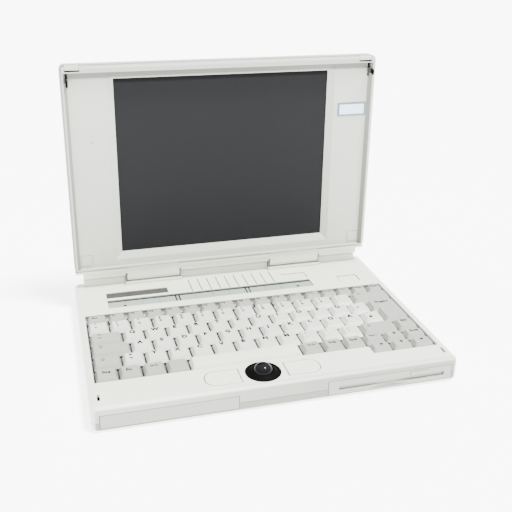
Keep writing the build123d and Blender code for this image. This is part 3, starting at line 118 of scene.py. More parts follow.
BADGE_X, BADGE_Z = 0.1275, 0.1844
BADGE_HALF_WIDTH, BADGE_HALF_HEIGHT = 0.0127, 0.0048

# Floor, light and camera: lengths in metres, lens and sensor in millimetres, spread in degrees
FLOOR_SIZE = 24.0
FLOOR_PARTS = 8
PAPER_WHITE = 0.985
PAPER_GLOW = 2.5
LIGHT_TINT = (0.985, 0.99, 1.0, 1.0)
WALL_FOOT, WALL_HEAD = 0.10, 0.26
SUN_PLACE = (0.3, -0.4, 1.6)
SUN_WAY = (-0.30, 0.24, -0.92)
SUN_SPREAD = 14
SUN_ENERGY = 13.0
CAMERA_PLACE = (-0.1620, -0.5879, 0.3531)
CAMERA_AHEAD = (0.244, 0.898, -0.367)
CAMERA_RIGHT = (0.966, -0.258, 0.010)
CAMERA_LENS = 53.63
CAMERA_SHIFT = (0.0148, -0.0633)
CAMERA_NEAR = 0.01
SENSOR_WIDTH = 36.0


# Materials
def linear(colour):
    """A colour given as on a paint card, turned into the shader's linear values."""
    return tuple(c / 12.92 if c <= 0.04045 else ((c + 0.055) / 1.055) ** 2.4
                 for c in colour[:3]) + (1.0,)


class Term:
    """A socket of a material that can be used in sums like a number."""

    def __init__(self, finish, socket):
        self.finish = finish
        self.socket = socket

    def _maths(self, operation, first, second):
        return self.finish.node("ShaderNodeMath", {"operation": operation}, {0: first, 1: second})

    def __add__(self, other):
        return self._maths("ADD", self, other)

    __radd__ = __add__

    def __sub__(self, other):
        return self._maths("SUBTRACT", self, other)

    def __rsub__(self, other):
        return self._maths("SUBTRACT", other, self)

    def __mul__(self, other):
        return self._maths("MULTIPLY", self, other)

    __rmul__ = __mul__

    def __abs__(self):
        return self.finish.node("ShaderNodeMath", {"operation": "ABSOLUTE"}, {0: self})

    def above(self, limit, blur=SHARP):
        """One above a limit and nought below it, with a soft step between."""
        return self.finish.node("ShaderNodeMapRange", {"interpolation_type": "SMOOTHSTEP"},
                                {"Value": self, "From Min": limit - blur, "From Max": limit + blur})

    def below(self, limit, blur=SHARP):
        """One below a limit and nought above it, with a soft step between."""
        return 1.0 - self.above(limit, blur)

    def within(self, low, high, blur=SHARP):
        """One between two limits and nought outside them."""
        return self.above(low, blur) * self.below(high, blur)


class Finish:
    """One material with its shader and the nodes that feed it."""

    def __init__(self, name, colour, roughness, **constants):
        self.material = bpy.data.materials.new(name)
        self.material.use_nodes = True
        self.tree = self.material.node_tree
        self.shader = self.tree.nodes["Principled BSDF"]
        self.colour = linear(colour)
        self.shader.inputs["Base Color"].default_value = self.colour
        self.shader.inputs["Roughness"].default_value = roughness
        self.material.diffuse_color = self.colour
        for socket, value in constants.items():
            self.shader.inputs[socket.replace("_", " ")].default_value = value

    def node(self, kind, settings=None, inputs=None, outlet=0):
        """Adds a node: its settings first, then values or links for its sockets."""
        made = self.tree.nodes.new(kind)
        for key, value in (settings or {}).items():
            setattr(made, key, value)
        for key, value in (inputs or {}).items():
            if isinstance(value, Term):
                self.tree.links.new(value.socket, made.inputs[key])
            else:
                made.inputs[key].default_value = value
        return Term(self, made.outputs[outlet])

    def feed(self, socket, term):
        """Links a term to a socket of the shader."""
        self.tree.links.new(term.socket, self.shader.inputs[socket])

    def places(self, scale=(1, 1, 1)):
        """Points of the object itself, stretched by a scale."""
        points = self.node("ShaderNodeTexCoord", outlet="Object")
        return self.node("ShaderNodeMapping", {}, {"Vector": points, "Scale": scale})

    def axes(self):
        """The three coordinates of a point of the object itself, in metres."""
        points = self.node("ShaderNodeTexCoord", outlet="Object")
        return [self.node("ShaderNodeSeparateXYZ", {}, {"Vector": points}, outlet=way)
                for way in "XYZ"]

    def soiled(self, colour, shade_and_tone):
        """A colour brought to a share of itself in each place, for painted shade and painted light
        and for darker tones; a share above one is paler.
        """
        for place, share in shade_and_tone:
            level = 1.0 - place(*self.axes()) * (1.0 - share)
            colour = self.node("ShaderNodeVectorMath", {"operation": "SCALE"},
                               {0: colour, "Scale": level})
        return colour

    def noise(self, points, scale, detail=2.0, harshness=0.5):
        """A noise pattern over some points."""
        return self.node("ShaderNodeTexNoise", {}, {"Vector": points, "Scale": scale,
                                                     "Detail": detail, "Roughness": harshness})

    def tint(self, factor, dark, light):
        """A colour between two shades of the base colour."""
        low = tuple(c * dark for c in self.colour[:3]) + (1.0,)
        high = tuple(min(1.0, c * light) for c in self.colour[:3]) + (1.0,)
        return self.node("ShaderNodeMix", {"data_type": "RGBA"}, {0: factor, 6: low, 7: high},
                         outlet=2)

    def bump(self, height, strength, distance):
        """A normal that follows a height."""
        return self.node("ShaderNodeBump", {}, {"Height": height, "Strength": strength,
                                                "Distance": distance})


class Backdrop(Finish):
    """The world's background shader, fed in the same way as a material."""

    def __init__(self, world):
        world.use_nodes = True
        self.tree = world.node_tree
        self.shader = self.tree.nodes["Background"]


def moulded(name, colour, roughness, grain=0.25, grain_size=0.55, cloud=0.03, shade_and_tone=(),
            **constants):
    """Moulded plastic: a fine spark-eroded grain, a faint cloudiness from age, and painted shade,
    painted light and darker tones in given places.
    """
    finish = Finish(name, colour, roughness, **constants)
    points = finish.places()
    fine = finish.noise(points, 1000.0 / grain_size, GRAIN_DETAIL, GRAIN_HARSHNESS)
    broad = finish.noise(points, CLOUD_SCALE, GRAIN_DETAIL, CLOUD_HARSHNESS)
    finish.feed("Base Color", finish.soiled(finish.tint(broad, 1.0 - cloud, 1.0 + cloud), shade_and_tone))
    finish.feed("Roughness", fine * GRAIN_DULLING + (roughness - GRAIN_DULLING / 2)
                + (broad - 0.5) * CLOUD_DULLING)
    finish.feed("Normal", finish.bump(fine, grain, GRAIN_DEPTH))
    return finish.material


def brushed(name, colour, roughness):
    """Sheet metal with faint drawn lines along X."""
    finish = Finish(name, colour, roughness, Metallic=1.0)
    lines = finish.noise(finish.places((6, 500, 500)), scale=4.0, detail=2.0, harshness=0.6)
    finish.feed("Base Color", finish.tint(lines, dark=0.85, light=1.1))
    finish.feed("Roughness", lines * 0.2 + (roughness - 0.1))
    return finish.material


def clear_screen(name, colour, roughness, shade_and_tone, **constants):
    """Dark screen face: a soft sheen and a very faint upright line pattern behind its film."""
    finish = Finish(name, colour, roughness, **constants)
    cloud = finish.noise(finish.places(), scale=9.0, detail=2.0, harshness=0.5)
    lines = finish.noise(finish.places((1200, 1, 1)), scale=2.0, detail=1.0, harshness=0.5)
    shade = finish.tint(cloud * 0.7 + lines * 0.3, dark=0.93, light=1.07)
    finish.feed("Base Color", finish.soiled(shade, shade_and_tone))
    finish.feed("Roughness", cloud * 0.08 + (roughness - 0.04))
    return finish.material


# Places with painted shade, painted shadow or painted light, and a few other darker places, as
# masks over the coordinates of the object
def recess_walls(x, y, z):
    """Painted shade on the slanted walls beside the sunk face of the bezel, and on the outer edge
    of its rim.
    """
    return abs(x).above(RECESS_WALL_X, EDGE_BLUR) * y.above(RECESS_WALL_Y, EDGE_BLUR)


def recess_ceiling(x, y, z):
    """Painted shadow of the top rim on the strip of the sunk face right under it."""
    return z.above(CEILING_Z, blur=0.0014) * y.above(CEILING_Y, blur=0.0005)


def rim_front(x, y, z):
    """The lower half of the front of the top rim."""
    return z.within(RIM_LOW_Z, RIM_HIGH_Z, EDGE_BLUR) * y.below(RIM_REAR_Y, EDGE_BLUR)


def left_crest(x, y, z):
    """Painted shade on the outer edge of the rim on the side away from the light."""
    return x.below(CREST_X, EDGE_BLUR) * y.below(CREST_Y, EDGE_BLUR)


def lid_flanks(x, y, z):
    """Painted shade on the narrow sides of the lid."""
    return abs(x).above(FLANK_X, blur=0.0004)


def lid_top(x, y, z):
    """The upper edge of the lid."""
    return z.above(LID_TOP_Z, blur=0.0004)


def screen_top(x, y, z):
    """Painted shadow on the strip of the screen under the upper edge of its frame."""
    return z.above(SCREEN_TOP_Z, blur=0.0010)


def hook_tip(x, y, z):
    """The end of a latch hook that reaches into the deck."""
    return y.below(HOOK_TIP_Y, blur=0.0006)


def deck_gaps(x, y, z):
    """Painted shade in the gaps and grooves of the deck, without the bed of the bare plate and the
    latch sockets.
    """
    socket = abs(x).above(SOCKET_X) * y.below(SOCKET_Y)
    plate_bed = z.within(PLATE_BED_LOW_Z, PLATE_BED_HIGH_Z)
    return (z.within(GAP_LOW_Z, GAP_HIGH_Z) * (1.0 - plate_bed)
            * x.within(GAPS_LEFT_X, GAPS_RIGHT_X) * y.within(GAPS_FRONT_Y, GAPS_REAR_Y)
            * (1.0 - socket))


def front_edge(x, y, z):
    """Painted shade on the rounded front edge of the base, growing from the middle to the right."""
    return y.below(FRONT_EDGE_Y, blur=0.0022) * x.above(FRONT_EDGE_X, blur=0.0900)


def front_face(x, y, z):
    """Painted shade on the upright front of the base."""
    return y.below(FRONT_FACE_Y, blur=0.0005)


def button_flanges(x, y, z):
    """Painted shade on the sides and the flange of a button, below the deck."""
    return z.below(FLANGE_Z)


def cap_feet(x, y, z):
    """Painted shade on the lower half of the slopes of the keys, less so towards the right."""
    return z.below(FEET_Z, blur=0.0009) * x.below(FEET_X, blur=ROW_FADE)


def cap_slopes(x, y, z):
    """Painted light on the slopes of the keys, which makes them paler than their tops, more so
    towards the right.
    """
    return z.within(SLOPES_LOW_Z, SLOPES_HIGH_Z, EDGE_BLUR) * x.above(SLOPES_X, blur=ROW_FADE)


def well_floor(x, y, z):
    """Painted shade on the floor between the keys, without the strip behind the last row."""
    return y.below(WELL_REAR_Y, blur=0.0005)


def badge_frame(x, y, z):
    """The border of the bare plate."""
    across = (x - BADGE_X).within(-BADGE_HALF_WIDTH, BADGE_HALF_WIDTH)
    return 1.0 - across * (z - BADGE_Z).within(-BADGE_HALF_HEIGHT, BADGE_HALF_HEIGHT)


# Grain of kinds of plastic: strength of the bump, size in millimetres, cloudiness
KEY_GRAIN = {"grain": 0.15, "grain_size": 0.4}
DARK_GRAIN = {"grain": 0.2, "grain_size": 0.4, "cloud": 0.06}
GLASS_GRAIN = {"grain": 0.05, "grain_size": 0.6}
PRINT_GRAIN = {"grain": 0.1, "grain_size": 0.3}


def finishes():
    """Makes every material, and returns them by the names of their finishes."""
    cards = bpy.context.scene.laptop_cards
    return {
        # Slots of the record
        # The case has painted shade on its upright front.
        "case": moulded("case_plastic", cards.case_colour, 0.46, shade_and_tone=[(front_face, 0.27)]),
        # The trim is darker than the case as painted shade.
        "trim": moulded("trim_plastic", cards.trim_colour, 0.44),
        # Keys have painted shade low on their slopes and painted light higher up on them.
        "white_key": moulded("white_key_plastic", cards.white_key_colour, 0.40, **KEY_GRAIN,
                             shade_and_tone=[(cap_feet, 0.34), (cap_slopes, 1.32)]),
        # Grey keys have the same painted shade and painted light.
        "grey_key": moulded("grey_key_plastic", cards.grey_key_colour, 0.40, **KEY_GRAIN,
                            shade_and_tone=[(cap_feet, 0.34), (cap_slopes, 1.14)]),
        "dark_plastic": moulded("dark_plastic", (0.10, 0.10, 0.105), 0.50, **DARK_GRAIN,
                                Specular_IOR_Level=0.12),
        "ball": moulded("ball_resin", (0.034, 0.036, 0.041), 0.10, grain=0.0, grain_size=0.5,
                        cloud=0.05, Specular_IOR_Level=0.07),
        "foot_rubber": moulded("foot_rubber", (0.42, 0.42, 0.41), 0.75, grain=0.5,
                               grain_size=0.8, cloud=0.05),
        "steel": brushed("zinc_plated_steel", (0.46, 0.46, 0.46), 0.42),
        "connector": brushed("tinned_shell", (0.62, 0.62, 0.60), 0.32),
        "board": moulded("circuit_board", (0.10, 0.30, 0.19), 0.5, grain=0.5, grain_size=1.4,
                         cloud=0.15),
        # The screen has a painted shadow along its top, under its frame.
        "screen": clear_screen("screen_film", cards.screen_colour, 0.34, [(screen_top, 0.45)],
                               Specular_IOR_Level=0.026),
        "display": moulded("display_glass", cards.display_colour, 0.40, **GLASS_GRAIN,
                           Specular_IOR_Level=0.15),
        "label": moulded("label_cover", cards.label_colour, 0.32, **GLASS_GRAIN, cloud=0.04,
                         Specular_IOR_Level=0.3),
        "plate": moulded("bare_plate", (0.68, 0.80, 0.86), 0.34, grain=0.1, grain_size=0.5,
                         cloud=0.02, shade_and_tone=[(badge_frame, 0.20)]),
        # Finishes of single solids and of prints
        # The bezel has painted shade on its recess walls and left crest, and a painted shadow under
        # its top rim.
        "bezel": moulded("bezel_plastic", cards.trim_colour, 0.44,
                         shade_and_tone=[(recess_walls, 0.50), (recess_ceiling, 0.30), (rim_front, 0.80),
                               (left_crest, 0.60), (lid_top, 0.62)]),
        # The lid's narrow sides have painted shade.
        "lid_shell": moulded("lid_plastic", cards.case_colour, 0.46,
                             shade_and_tone=[(lid_flanks, 0.70), (lid_top, 0.62)]),
        # The deck has painted shade in its gaps and grooves, on its rounded front edge and on its
        # upright front.
        "deck": moulded("deck_plastic", cards.case_colour, 0.46,
                        shade_and_tone=[(deck_gaps, 0.20), (front_edge, 0.69), (front_face, 0.53)]),
        "front_panel": moulded("panel_plastic", cards.panel_colour, 0.44),
        # Buttons have painted shade on their sides below the deck.
        "button": moulded("button_plastic", cards.case_colour, 0.46,
                          shade_and_tone=[(button_flanges, 0.12)]),
        "space": moulded("space_bar_plastic", cards.case_colour, 0.40, **KEY_GRAIN),
        # The floor between the keys has painted shade.
        "key_bed": moulded("key_bed_plastic", (0.70, 0.715, 0.71), 0.6, grain=0.2,
                           grain_size=0.6, cloud=0.06, shade_and_tone=[(well_floor, 0.15)]),
        "ring": moulded("ring_plastic", (0.022, 0.022, 0.022), 0.60, **DARK_GRAIN,
                        Specular_IOR_Level=0.012),
        "hook": moulded("hook_plastic", (0.26, 0.27, 0.265), 0.60, **DARK_GRAIN,
                        shade_and_tone=[(hook_tip, 0.04)], Specular_IOR_Level=0.02),
        "ink": moulded("legend_ink", (0.035, 0.035, 0.04), 0.6, **PRINT_GRAIN,
                       Specular_IOR_Level=0.1),
        "soft_ink": moulded("cover_ink", (0.24, 0.26, 0.255), 0.5, **PRINT_GRAIN,
                            Specular_IOR_Level=0.2),
    }


# Solids whose finish isn't simply that of their slot
OWN_FINISHES = {
    "lid_bezel": "bezel", "lid_back_cover": "lid_shell", "top_case": "deck",
    "keyboard_frame": "key_bed", "trackball_ring": "ring", "space_bar": "space",
    "latch_hook_left": "hook", "latch_hook_right": "hook",
    "click_button_left": "button", "click_button_right": "button", "power_button": "button",
    "battery_pack": "front_panel", "floppy_bezel": "front_panel",
    "floppy_flap": "front_panel", "eject_button": "front_panel",
}
FINISHES = {}


def paint(thing, finish):
    """Gives an object one finish as its only material; the first call makes them all."""
    if not FINISHES:
        FINISHES.update(finishes())
    thing.data.materials.clear()
    thing.data.materials.append(FINISHES[finish])


# Handling of pieces
def nothing_selected():
    """Deselects everything, since operators act on all that is selected."""
    bpy.ops.object.select_all(action="DESELECT")


def put_in_place(thing):
    """Selects one object alone and puts its place into its mesh."""
    nothing_selected()
    thing.select_set(True)
    bpy.context.view_layer.objects.active = thing
    bpy.ops.object.transform_apply(location=True, rotation=True, scale=True)


def thicken(thing):
    """Gives a flat print its thickness."""
    wall = thing.modifiers.new("wall", "SOLIDIFY")
    wall.thickness = PRINT_THICKNESS * MM
    wall.offset = 1.0
    bpy.ops.object.modifier_apply(modifier=wall.name)


def joined(things, name):
    """One object out of several."""
    nothing_selected()
    for thing in things:
        thing.select_set(True)
    bpy.context.view_layer.objects.active = things[0]
    if len(things) > 1:
        bpy.ops.object.join()
    bpy.context.object.name = name
    bpy.context.object.data.name = name
    return bpy.context.object


def settle(thing, body, finish):
    """Paints a print, and lets it ride on a body of the frame."""
    put_in_place(thing)
    paint(thing, finish)
    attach(thing, body)


# Keys
def key_run(start, count, front, size=1.0, depth=KEY_PITCH):
    """Cells of keys side by side: left edge, front edge, width and depth, in millimetres."""
    return [(KEYBOARD_LEFT + (start + n * size) * KEY_PITCH, front, size * KEY_PITCH, depth)
            for n in range(count)]


ROWS = [ROW_FRONT - n * KEY_PITCH for n in range(5)]
UP_FRONT = ROWS[3] - ARROW_DEPTH
DOWN_FRONT = UP_FRONT - ARROW_DEPTH

# Each key set: node, cells, signs in the upper line, signs in the lower line. A sign is a word
# or an arrow: its way, the size of its head, the length of its tail and the tail's outline.
KEY_SETS = [
    ("number_keys", key_run(0, 13, ROWS[0]), list("°!") + ['"'] + list("§$%&/()=?`"),
     list("^1234567890ß´")),
    ("upper_letter_keys", key_run(1.5, 12, ROWS[1]), list("QWERTZUIOPÜ*"), [""] * 11 + ["+"]),
    ("home_letter_keys", key_run(1.75, 12, ROWS[2]), list("ASDFGHJKLÖÄ'"), [""] * 11 + ["#"]),
    ("lower_letter_keys", key_run(1.25, 11, ROWS[3]), list(">YXCVBNM;:_"),
     list("<       ,.-")),
    ("control_keys", key_run(0, 4, ROWS[4]) + key_run(9, 3, ROWS[4]),
     ["Strg", "Fn", "Alt Fn", "", "Alt Gr", "Einfg", "Entf"], [""] * 7),
    ("function_keys", key_run(0, 1, FUNCTION_FRONT, 1.0, FUNCTION_DEPTH)
     + key_run(1.0, 12, FUNCTION_FRONT, 0.89, FUNCTION_DEPTH)
     + key_run(11.68, 4, FUNCTION_FRONT, 0.83, FUNCTION_DEPTH),
     ["Esc"] + ["F" + str(n) for n in range(1, 13)] + ["Druck", "Rollen", "Pause", "Num"],
     [""] * 17),
    ("editing_keys", key_run(14, 1, ROWS[3]) + key_run(12, 1, UP_FRONT, 1.0, ARROW_DEPTH)
     + key_run(14, 1, UP_FRONT, 1.0, ARROW_DEPTH), ["Bild", "Pos 1", "Ende"], [""] * 3),
    ("backspace_key", key_run(13, 1, ROWS[0], 2.0), [("left", 2.2, 2.8, 0.0)], [""]),
    ("tab_key", key_run(0, 1, ROWS[1], 1.5), [("left", 2.2, 2.6, 0.0)],
     [("right", 2.2, 2.2, 0.0)]),
    ("caps_lock_key", key_run(0, 1, ROWS[2], 1.75), [("down", 3.8, 1.6, 0.35)], [""]),
    ("left_shift_key", key_run(0, 1, ROWS[3], 1.25), [("up", 3.8, 1.6, 0.35)], [""]),
    ("right_shift_key", key_run(12.25, 1, ROWS[3], 1.75), [("up", 3.4, 1.4, 0.30)], [""]),
    ("enter_key", key_run(13.75, 1, ROWS[1], 1.25), ["Eingabe"], [""]),
    ("arrow_up_key", key_run(13, 1, UP_FRONT, 1.0, ARROW_DEPTH), [("up", 3.4, 1.2, 0.0)], [""]),
    ("arrow_left_key", key_run(12, 1, DOWN_FRONT, 1.0, ARROW_DEPTH), [("left", 3.4, 1.2, 0.0)],
     [""]),
    ("arrow_down_key", key_run(13, 1, DOWN_FRONT, 1.0, ARROW_DEPTH), [("down", 3.4, 1.2, 0.0)],
     [""]),
    ("arrow_right_key", key_run(14, 1, DOWN_FRONT, 1.0, ARROW_DEPTH),
     [("right", 3.4, 1.2, 0.0)], [""]),
]
TURNS = {"up": 0.0, "left": 90.0, "down": 180.0, "right": 270.0}

# How far in from the left and the rear edge of its cell a sign starts, in millimetres
LETTER_CORNER = (6.0, 2.3)
WORD_CORNER = (6.2, 2.8)
FRONT_ROW_CORNER = (6.0, 5.2)
ENTER_CORNER = (2.8, 2.8)
ESCAPE_CORNER = (4.6, 3.4)
FUNCTION_CORNER = (3.6, 2.6)
ARROW_KEY_CORNER = (8.0, 2.9)
ARROW_CORNER = (5.8, 3.0)
SHIFT_CORNER = (5.8, 4.6)


def arrow(way, size, tail, outline, left, back, height):
    """A flat arrow with its upper left corner at a place, in millimetres."""
    nothing_selected()
    bpy.ops.mesh.primitive_circle_add(vertices=3, radius=size * ARROW_RADIUS * MM,
                                      fill_type="NGON")
    thing = bpy.context.object
    middle = (0, -(size * ARROW_BACK + tail / 2) * MM, 0)
    bpy.ops.object.mode_set(mode="EDIT")
    bpy.ops.mesh.primitive_plane_add(size=MM, location=middle)
    bpy.ops.transform.resize(value=(size * TAIL_WIDTH, tail, 1.0), center_override=middle)
    if outline:
        bpy.ops.mesh.select_all(action="SELECT")
        bpy.ops.mesh.inset(thickness=outline * MM, use_individual=True)
        bpy.ops.mesh.delete(type="FACE")
    bpy.ops.object.mode_set(mode="OBJECT")
    reach = (size + tail) / 2 * MM
    thing.rotation_euler.z = math.radians(TURNS[way])
    thing.location = (left * MM + reach, back * MM - size * 0.5 * MM, height * MM)
    return thing


def word(text, size, left, back, height):
    """A flat word as a mesh, its upper left corner at a place, in millimetres."""
    nothing_selected()
    bpy.ops.object.text_add(location=(left * MM, back * MM, height * MM))
    thing = bpy.context.object
    thing.data.body = text
    thing.data.size = size * MM
    thing.data.resolution_u = LETTER_STEPS
    thing.data.offset = (WORD_STROKE if len(text) > 1 else LETTER_STROKE) * size * MM
    thing.data.align_x = "LEFT"
    thing.data.align_y = "TOP"
    bpy.ops.object.convert(target="MESH")
    return bpy.context.object


def laid_on(thing, node):
    """Lays a flat print down on a solid of the frame and gives it a little thickness."""
    put_in_place(thing)
    lay = thing.modifiers.new("lay", "SHRINKWRAP")
    lay.target = frame["nodes"][node]
    lay.wrap_method = "PROJECT"
    lay.use_project_z = True
    lay.use_negative_direction = True
    lay.use_positive_direction = False
    lay.offset = LAY_GAP * MM
    bpy.ops.object.modifier_apply(modifier=lay.name)
    thicken(thing)
    return thing


class LaptopCards(bpy.types.PropertyGroup):
    """Colours and sizes that a user may change before the pieces are made"""

    case_colour: bpy.props.FloatVectorProperty(
        name="Case", description="Colour of the base and the lid's back",
        subtype="COLOR_GAMMA", default=(0.758, 0.762, 0.718), min=0, max=1)
    # The trim colour is set darker than the case colour as painted shade on the upright bezel and
    # the other trim.
    trim_colour: bpy.props.FloatVectorProperty(
        name="Trim", description="Colour of the bezel, the latch buttons and the lid's pads",
        subtype="COLOR_GAMMA", default=(0.618, 0.628, 0.588), min=0, max=1)
    panel_colour: bpy.props.FloatVectorProperty(
        name="Panels", description="Colour of the fronts of the battery and the drive",
        subtype="COLOR_GAMMA", default=(0.506, 0.516, 0.481), min=0, max=1)
    white_key_colour: bpy.props.FloatVectorProperty(
        name="White keys", description="Colour of the letter keys",
        subtype="COLOR_GAMMA", default=(0.690, 0.693, 0.658), min=0, max=1)
    grey_key_colour: bpy.props.FloatVectorProperty(
        name="Grey keys", description="Colour of the control keys",
        subtype="COLOR_GAMMA", default=(0.508, 0.513, 0.485), min=0, max=1)
    screen_colour: bpy.props.FloatVectorProperty(
        name="Screen", description="Colour of the screen when it is off",
        subtype="COLOR_GAMMA", default=(0.104, 0.105, 0.109), min=0, max=1)
    display_colour: bpy.props.FloatVectorProperty(
        name="Status display", description="Colour of the small display",
        subtype="COLOR_GAMMA", default=(0.205, 0.205, 0.200), min=0, max=1)
    label_colour: bpy.props.FloatVectorProperty(
        name="Label strip", description="Colour of the strip over the keys",
        subtype="COLOR_GAMMA", default=(0.492, 0.528, 0.503), min=0, max=1)
    horizon_glow: bpy.props.FloatProperty(
        name="Horizon", description="Strength of the light tent near the floor",
        default=0.1, min=0.0)
    wall_glow: bpy.props.FloatProperty(
        name="Wall", description="Strength of the pale wall low around the floor",
        default=6.6, min=0.0)
    zenith_glow: bpy.props.FloatProperty(
        name="Zenith", description="Strength of the light tent overhead",
        default=4.6, min=0.0)
    legend_size: bpy.props.FloatProperty(
        name="Legend height", description="Height of a letter on a key",
        subtype="DISTANCE", unit="LENGTH", default=0.0062, min=0.001, max=0.008)


class LAPTOP_OT_stage(bpy.types.Operator):
    """Makes the pale floor and the soft studio light, and sets the camera"""

    bl_idname = "laptop.stage"
    bl_label = "Studio floor, light and camera"

    def execute(self, context):
        self.floor(context)
        self.sky(context)
        self.sun(context)
        self.camera(context)
        return {"FINISHED"}

    def floor(self, context):
        """White paper that glows a little, so that it comes out as pale as in the photograph."""
        nothing_selected()
        bpy.ops.mesh.primitive_grid_add(x_subdivisions=FLOOR_PARTS, y_subdivisions=FLOOR_PARTS,
                                        size=FLOOR_SIZE, location=(0, 0, 0))
        floor = context.object
        floor.name = "studio_floor"
        paper = Finish("studio_paper", (PAPER_WHITE, PAPER_WHITE, PAPER_WHITE), 0.8,
                       Emission_Color=LIGHT_TINT, Emission_Strength=PAPER_GLOW)
        spread = paper.noise(paper.places(), 3.0)
        paper.feed("Base Color", paper.tint(spread, 0.99, 1.01))
        floor.data.materials.append(paper.material)

    def sky(self, context):
        """A large white tent, brighter towards the zenith, with a pale wall low around it."""
        cards = context.scene.laptop_cards
        world = context.scene.world or bpy.data.worlds.new("studio")
        context.scene.world = world
        tent = Backdrop(world)
        points = tent.node("ShaderNodeTexCoord", outlet="Generated")
        rise = tent.node("ShaderNodeSeparateXYZ", {}, {"Vector": points}, outlet="Z")
        glow = tent.node("ShaderNodeMapRange", {},
                         {"Value": rise, "From Min": 0.0, "From Max": 1.0,
                          "To Min": cards.horizon_glow, "To Max": cards.zenith_glow})
        wall = tent.node("ShaderNodeMapRange", {"interpolation_type": "SMOOTHSTEP"},
                         {"Value": rise, "From Min": WALL_FOOT, "From Max": WALL_HEAD,
                          "To Min": cards.wall_glow, "To Max": 0.0})
        tent.feed("Strength", glow + wall)
        tent.shader.inputs["Color"].default_value = LIGHT_TINT

    def sun(self, context):
        """One broad lamp overhead, a little to the right and in front."""
        bpy.ops.object.light_add(type="SUN", location=SUN_PLACE)
        lamp = context.object
        lamp.name = "overhead_softbox"
        lamp.data.angle = math.radians(SUN_SPREAD)
        lamp.data.energy = SUN_ENERGY
        lamp.rotation_euler = Vector(SUN_WAY).to_track_quat("-Z", "Y").to_euler()

    def camera(self, context):
        """The photograph's viewing angle."""
        bpy.ops.object.camera_add()
        camera = context.object
        camera.name = "photo_camera"
        ahead = Vector(CAMERA_AHEAD).normalized()
        right = Vector(CAMERA_RIGHT)
        right = (right - ahead * right.dot(ahead)).normalized()
        up = right.cross(ahead)
        turn = Matrix((right, up, -ahead)).transposed()
        camera.matrix_world = Matrix.Translation(CAMERA_PLACE) @ turn.to_4x4()
        camera.data.sensor_width = SENSOR_WIDTH
        camera.data.lens = CAMERA_LENS
        camera.data.shift_x, camera.data.shift_y = CAMERA_SHIFT
        camera.data.clip_start = CAMERA_NEAR
        context.scene.camera = camera


class LAPTOP_OT_housing(bpy.types.Operator):
    """Gives every solid of the frame its finish"""

    bl_idname = "laptop.housing"
    bl_label = "Finishes of the housing"

    def execute(self, context):
        for part in frame["record"]["subparts"]:
            node = part["node"]
            paint(frame["nodes"][node], OWN_FINISHES.get(node, part["material_slot"]))
        return {"FINISHED"}


class LAPTOP_OT_legends(bpy.types.Operator):
    """Prints the legends on the keys"""

    bl_idname = "laptop.legends"
    bl_label = "Key legends"

    def execute(self, context):
        size = context.scene.laptop_cards.legend_size / MM
        for node, cells, upper, lower in KEY_SETS:
            marks = []
            for cell, high, low in zip(cells, upper, lower):
                marks += self.marks(node, cell, high, low, size)
            title = node.replace("_keys", "").replace("_key", "") + "_legends"
            settle(laid_on(joined(marks, title), node), node + "_body",
                   "soft_ink" if node == "number_keys" else "ink")
        return {"FINISHED"}

    def marks(self, node, cell, high, low, size):
        """The signs of one key."""
        left, front, width, depth = cell
        pair = isinstance(low, tuple) or bool(low.strip())
        inset, drop = self.corner(node, high, front)
        letter = size * (SMALL_LETTER if pair or depth < KEY_PITCH else 1.0)
        room = width - inset - FREE_ROOM
        made = []
        if high:
            made.append(self.mark(high, letter, left + inset, front + depth - drop, room))
        if pair:
            shift = TAB_SHIFT if node == "tab_key" else 0.0
            made.append(self.mark(low, letter, left + inset + shift,
                                  front + depth - drop - size * LINE_STEP, room))
        return made

    def corner(self, node, sign, front):
        """How far in from the left and the rear edge of its cell a sign starts."""
        if node == "function_keys":
            return ESCAPE_CORNER if sign == "Esc" else FUNCTION_CORNER
        if node.startswith("arrow"):
            return ARROW_KEY_CORNER
        if isinstance(sign, tuple):
            tall = node in ("caps_lock_key", "left_shift_key", "right_shift_key")
            return SHIFT_CORNER if tall else ARROW_CORNER
        if len(sign) > 1:
            if node == "enter_key":
                return ENTER_CORNER
            return FRONT_ROW_CORNER if front == ROWS[4] else WORD_CORNER
        return LETTER_CORNER

    def mark(self, sign, size, left, back, room):
        """One word or arrow above its key."""
        if isinstance(sign, tuple):
            return arrow(*sign, left, back, KEY_TOP + PRINT_START)
        if len(sign) > 1:
            size = min(size * WORD_HEIGHT, room / (LETTER_WIDTH * len(sign)))
        return word(sign, size, left, back, KEY_TOP + PRINT_START)


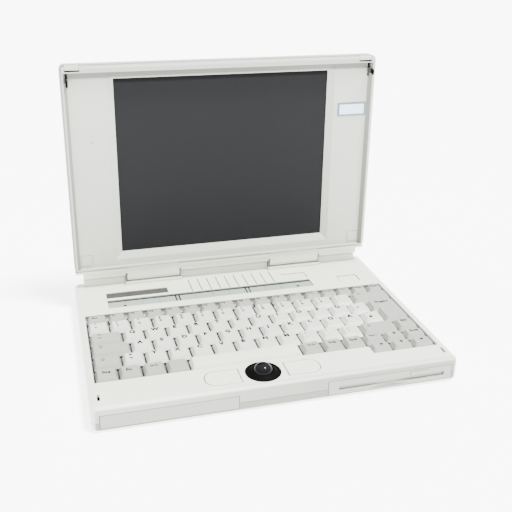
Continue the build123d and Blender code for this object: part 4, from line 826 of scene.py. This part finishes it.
class LAPTOP_OT_strip(bpy.types.Operator):
    """Prints the lines and the two marks of the label strip, and a dark bar along its rear edge as
    painted shadow
    """

    bl_idname = "laptop.strip"
    bl_label = "Lines of the label strip"

    # Middles and sizes of the printed bars, in millimetres. A run of fields has its start and
    # the width of a field, with a line after each of its first three.
    divider_places, divider_middle, divider_size = (-57.5, -54.2, 11.4, 14.7), 54.6, (1.3, 12.6)
    mark_places, mark_size = ((-106.2, 51.2), (63.5, 52.6)), (2.2, 3.0)
    # The long bar along the rear edge of the strip is painted shadow: dark ink where the strip's
    # recess is in shade.
    rim_place, rim_size = (-21.5, 61.0), (199.0, 1.8)
    field_runs = ((-121.4, 16.0), (-54.4, 16.4), (14.6, 15.9))
    field_middle, field_size = 55.4, (0.3, 11.0)

    def execute(self, context):
        bars = [self.bar(x, self.divider_middle, *self.divider_size)
                for x in self.divider_places]
        bars += [self.bar(x, y, *self.mark_size) for x, y in self.mark_places]
        # The bar at the rear edge is painted shadow.
        bars.append(self.bar(*self.rim_place, *self.rim_size))
        settle(joined(bars, "strip_bars"), "base", "ink")
        fields = [self.bar(start + width * n, self.field_middle, *self.field_size)
                  for start, width in self.field_runs for n in (1, 2, 3)]
        settle(joined(fields, "strip_fields"), "base", "soft_ink")
        return {"FINISHED"}

    def bar(self, x, y, width, depth):
        """A thin printed bar on the strip, its middle at a place, in millimetres."""
        nothing_selected()
        bpy.ops.mesh.primitive_plane_add(
            size=1.0, location=(x * MM, y * MM, (STRIP_TOP + STRIP_GAP) * MM))
        thing = bpy.context.object
        thing.scale = (width * MM, depth * MM, 1.0)
        put_in_place(thing)
        thicken(thing)
        return thing


class LAPTOP_PT_panel(bpy.types.Panel):
    """Lists the steps that finish the laptop"""

    bl_label = "Laptop"
    bl_idname = "LAPTOP_PT_panel"
    bl_space_type = "VIEW_3D"
    bl_region_type = "UI"
    bl_category = "Laptop"

    def draw(self, context):
        column = self.layout.column()
        for name in LaptopCards.__annotations__:
            column.prop(context.scene.laptop_cards, name)
        for step in STEPS:
            column.operator(step.bl_idname)


STEPS = (LAPTOP_OT_stage, LAPTOP_OT_housing, LAPTOP_OT_legends, LAPTOP_OT_strip)


def register():
    bpy.utils.register_class(LaptopCards)
    bpy.types.Scene.laptop_cards = bpy.props.PointerProperty(type=LaptopCards)
    for step in STEPS:
        bpy.utils.register_class(step)
    bpy.utils.register_class(LAPTOP_PT_panel)


def unregister():
    bpy.utils.unregister_class(LAPTOP_PT_panel)
    for step in reversed(STEPS):
        bpy.utils.unregister_class(step)
    del bpy.types.Scene.laptop_cards
    bpy.utils.unregister_class(LaptopCards)


def main():
    register()
    for step in STEPS:
        group, name = step.bl_idname.split(".")
        getattr(getattr(bpy.ops, group), name)()


if __name__ == "__main__":
    main()
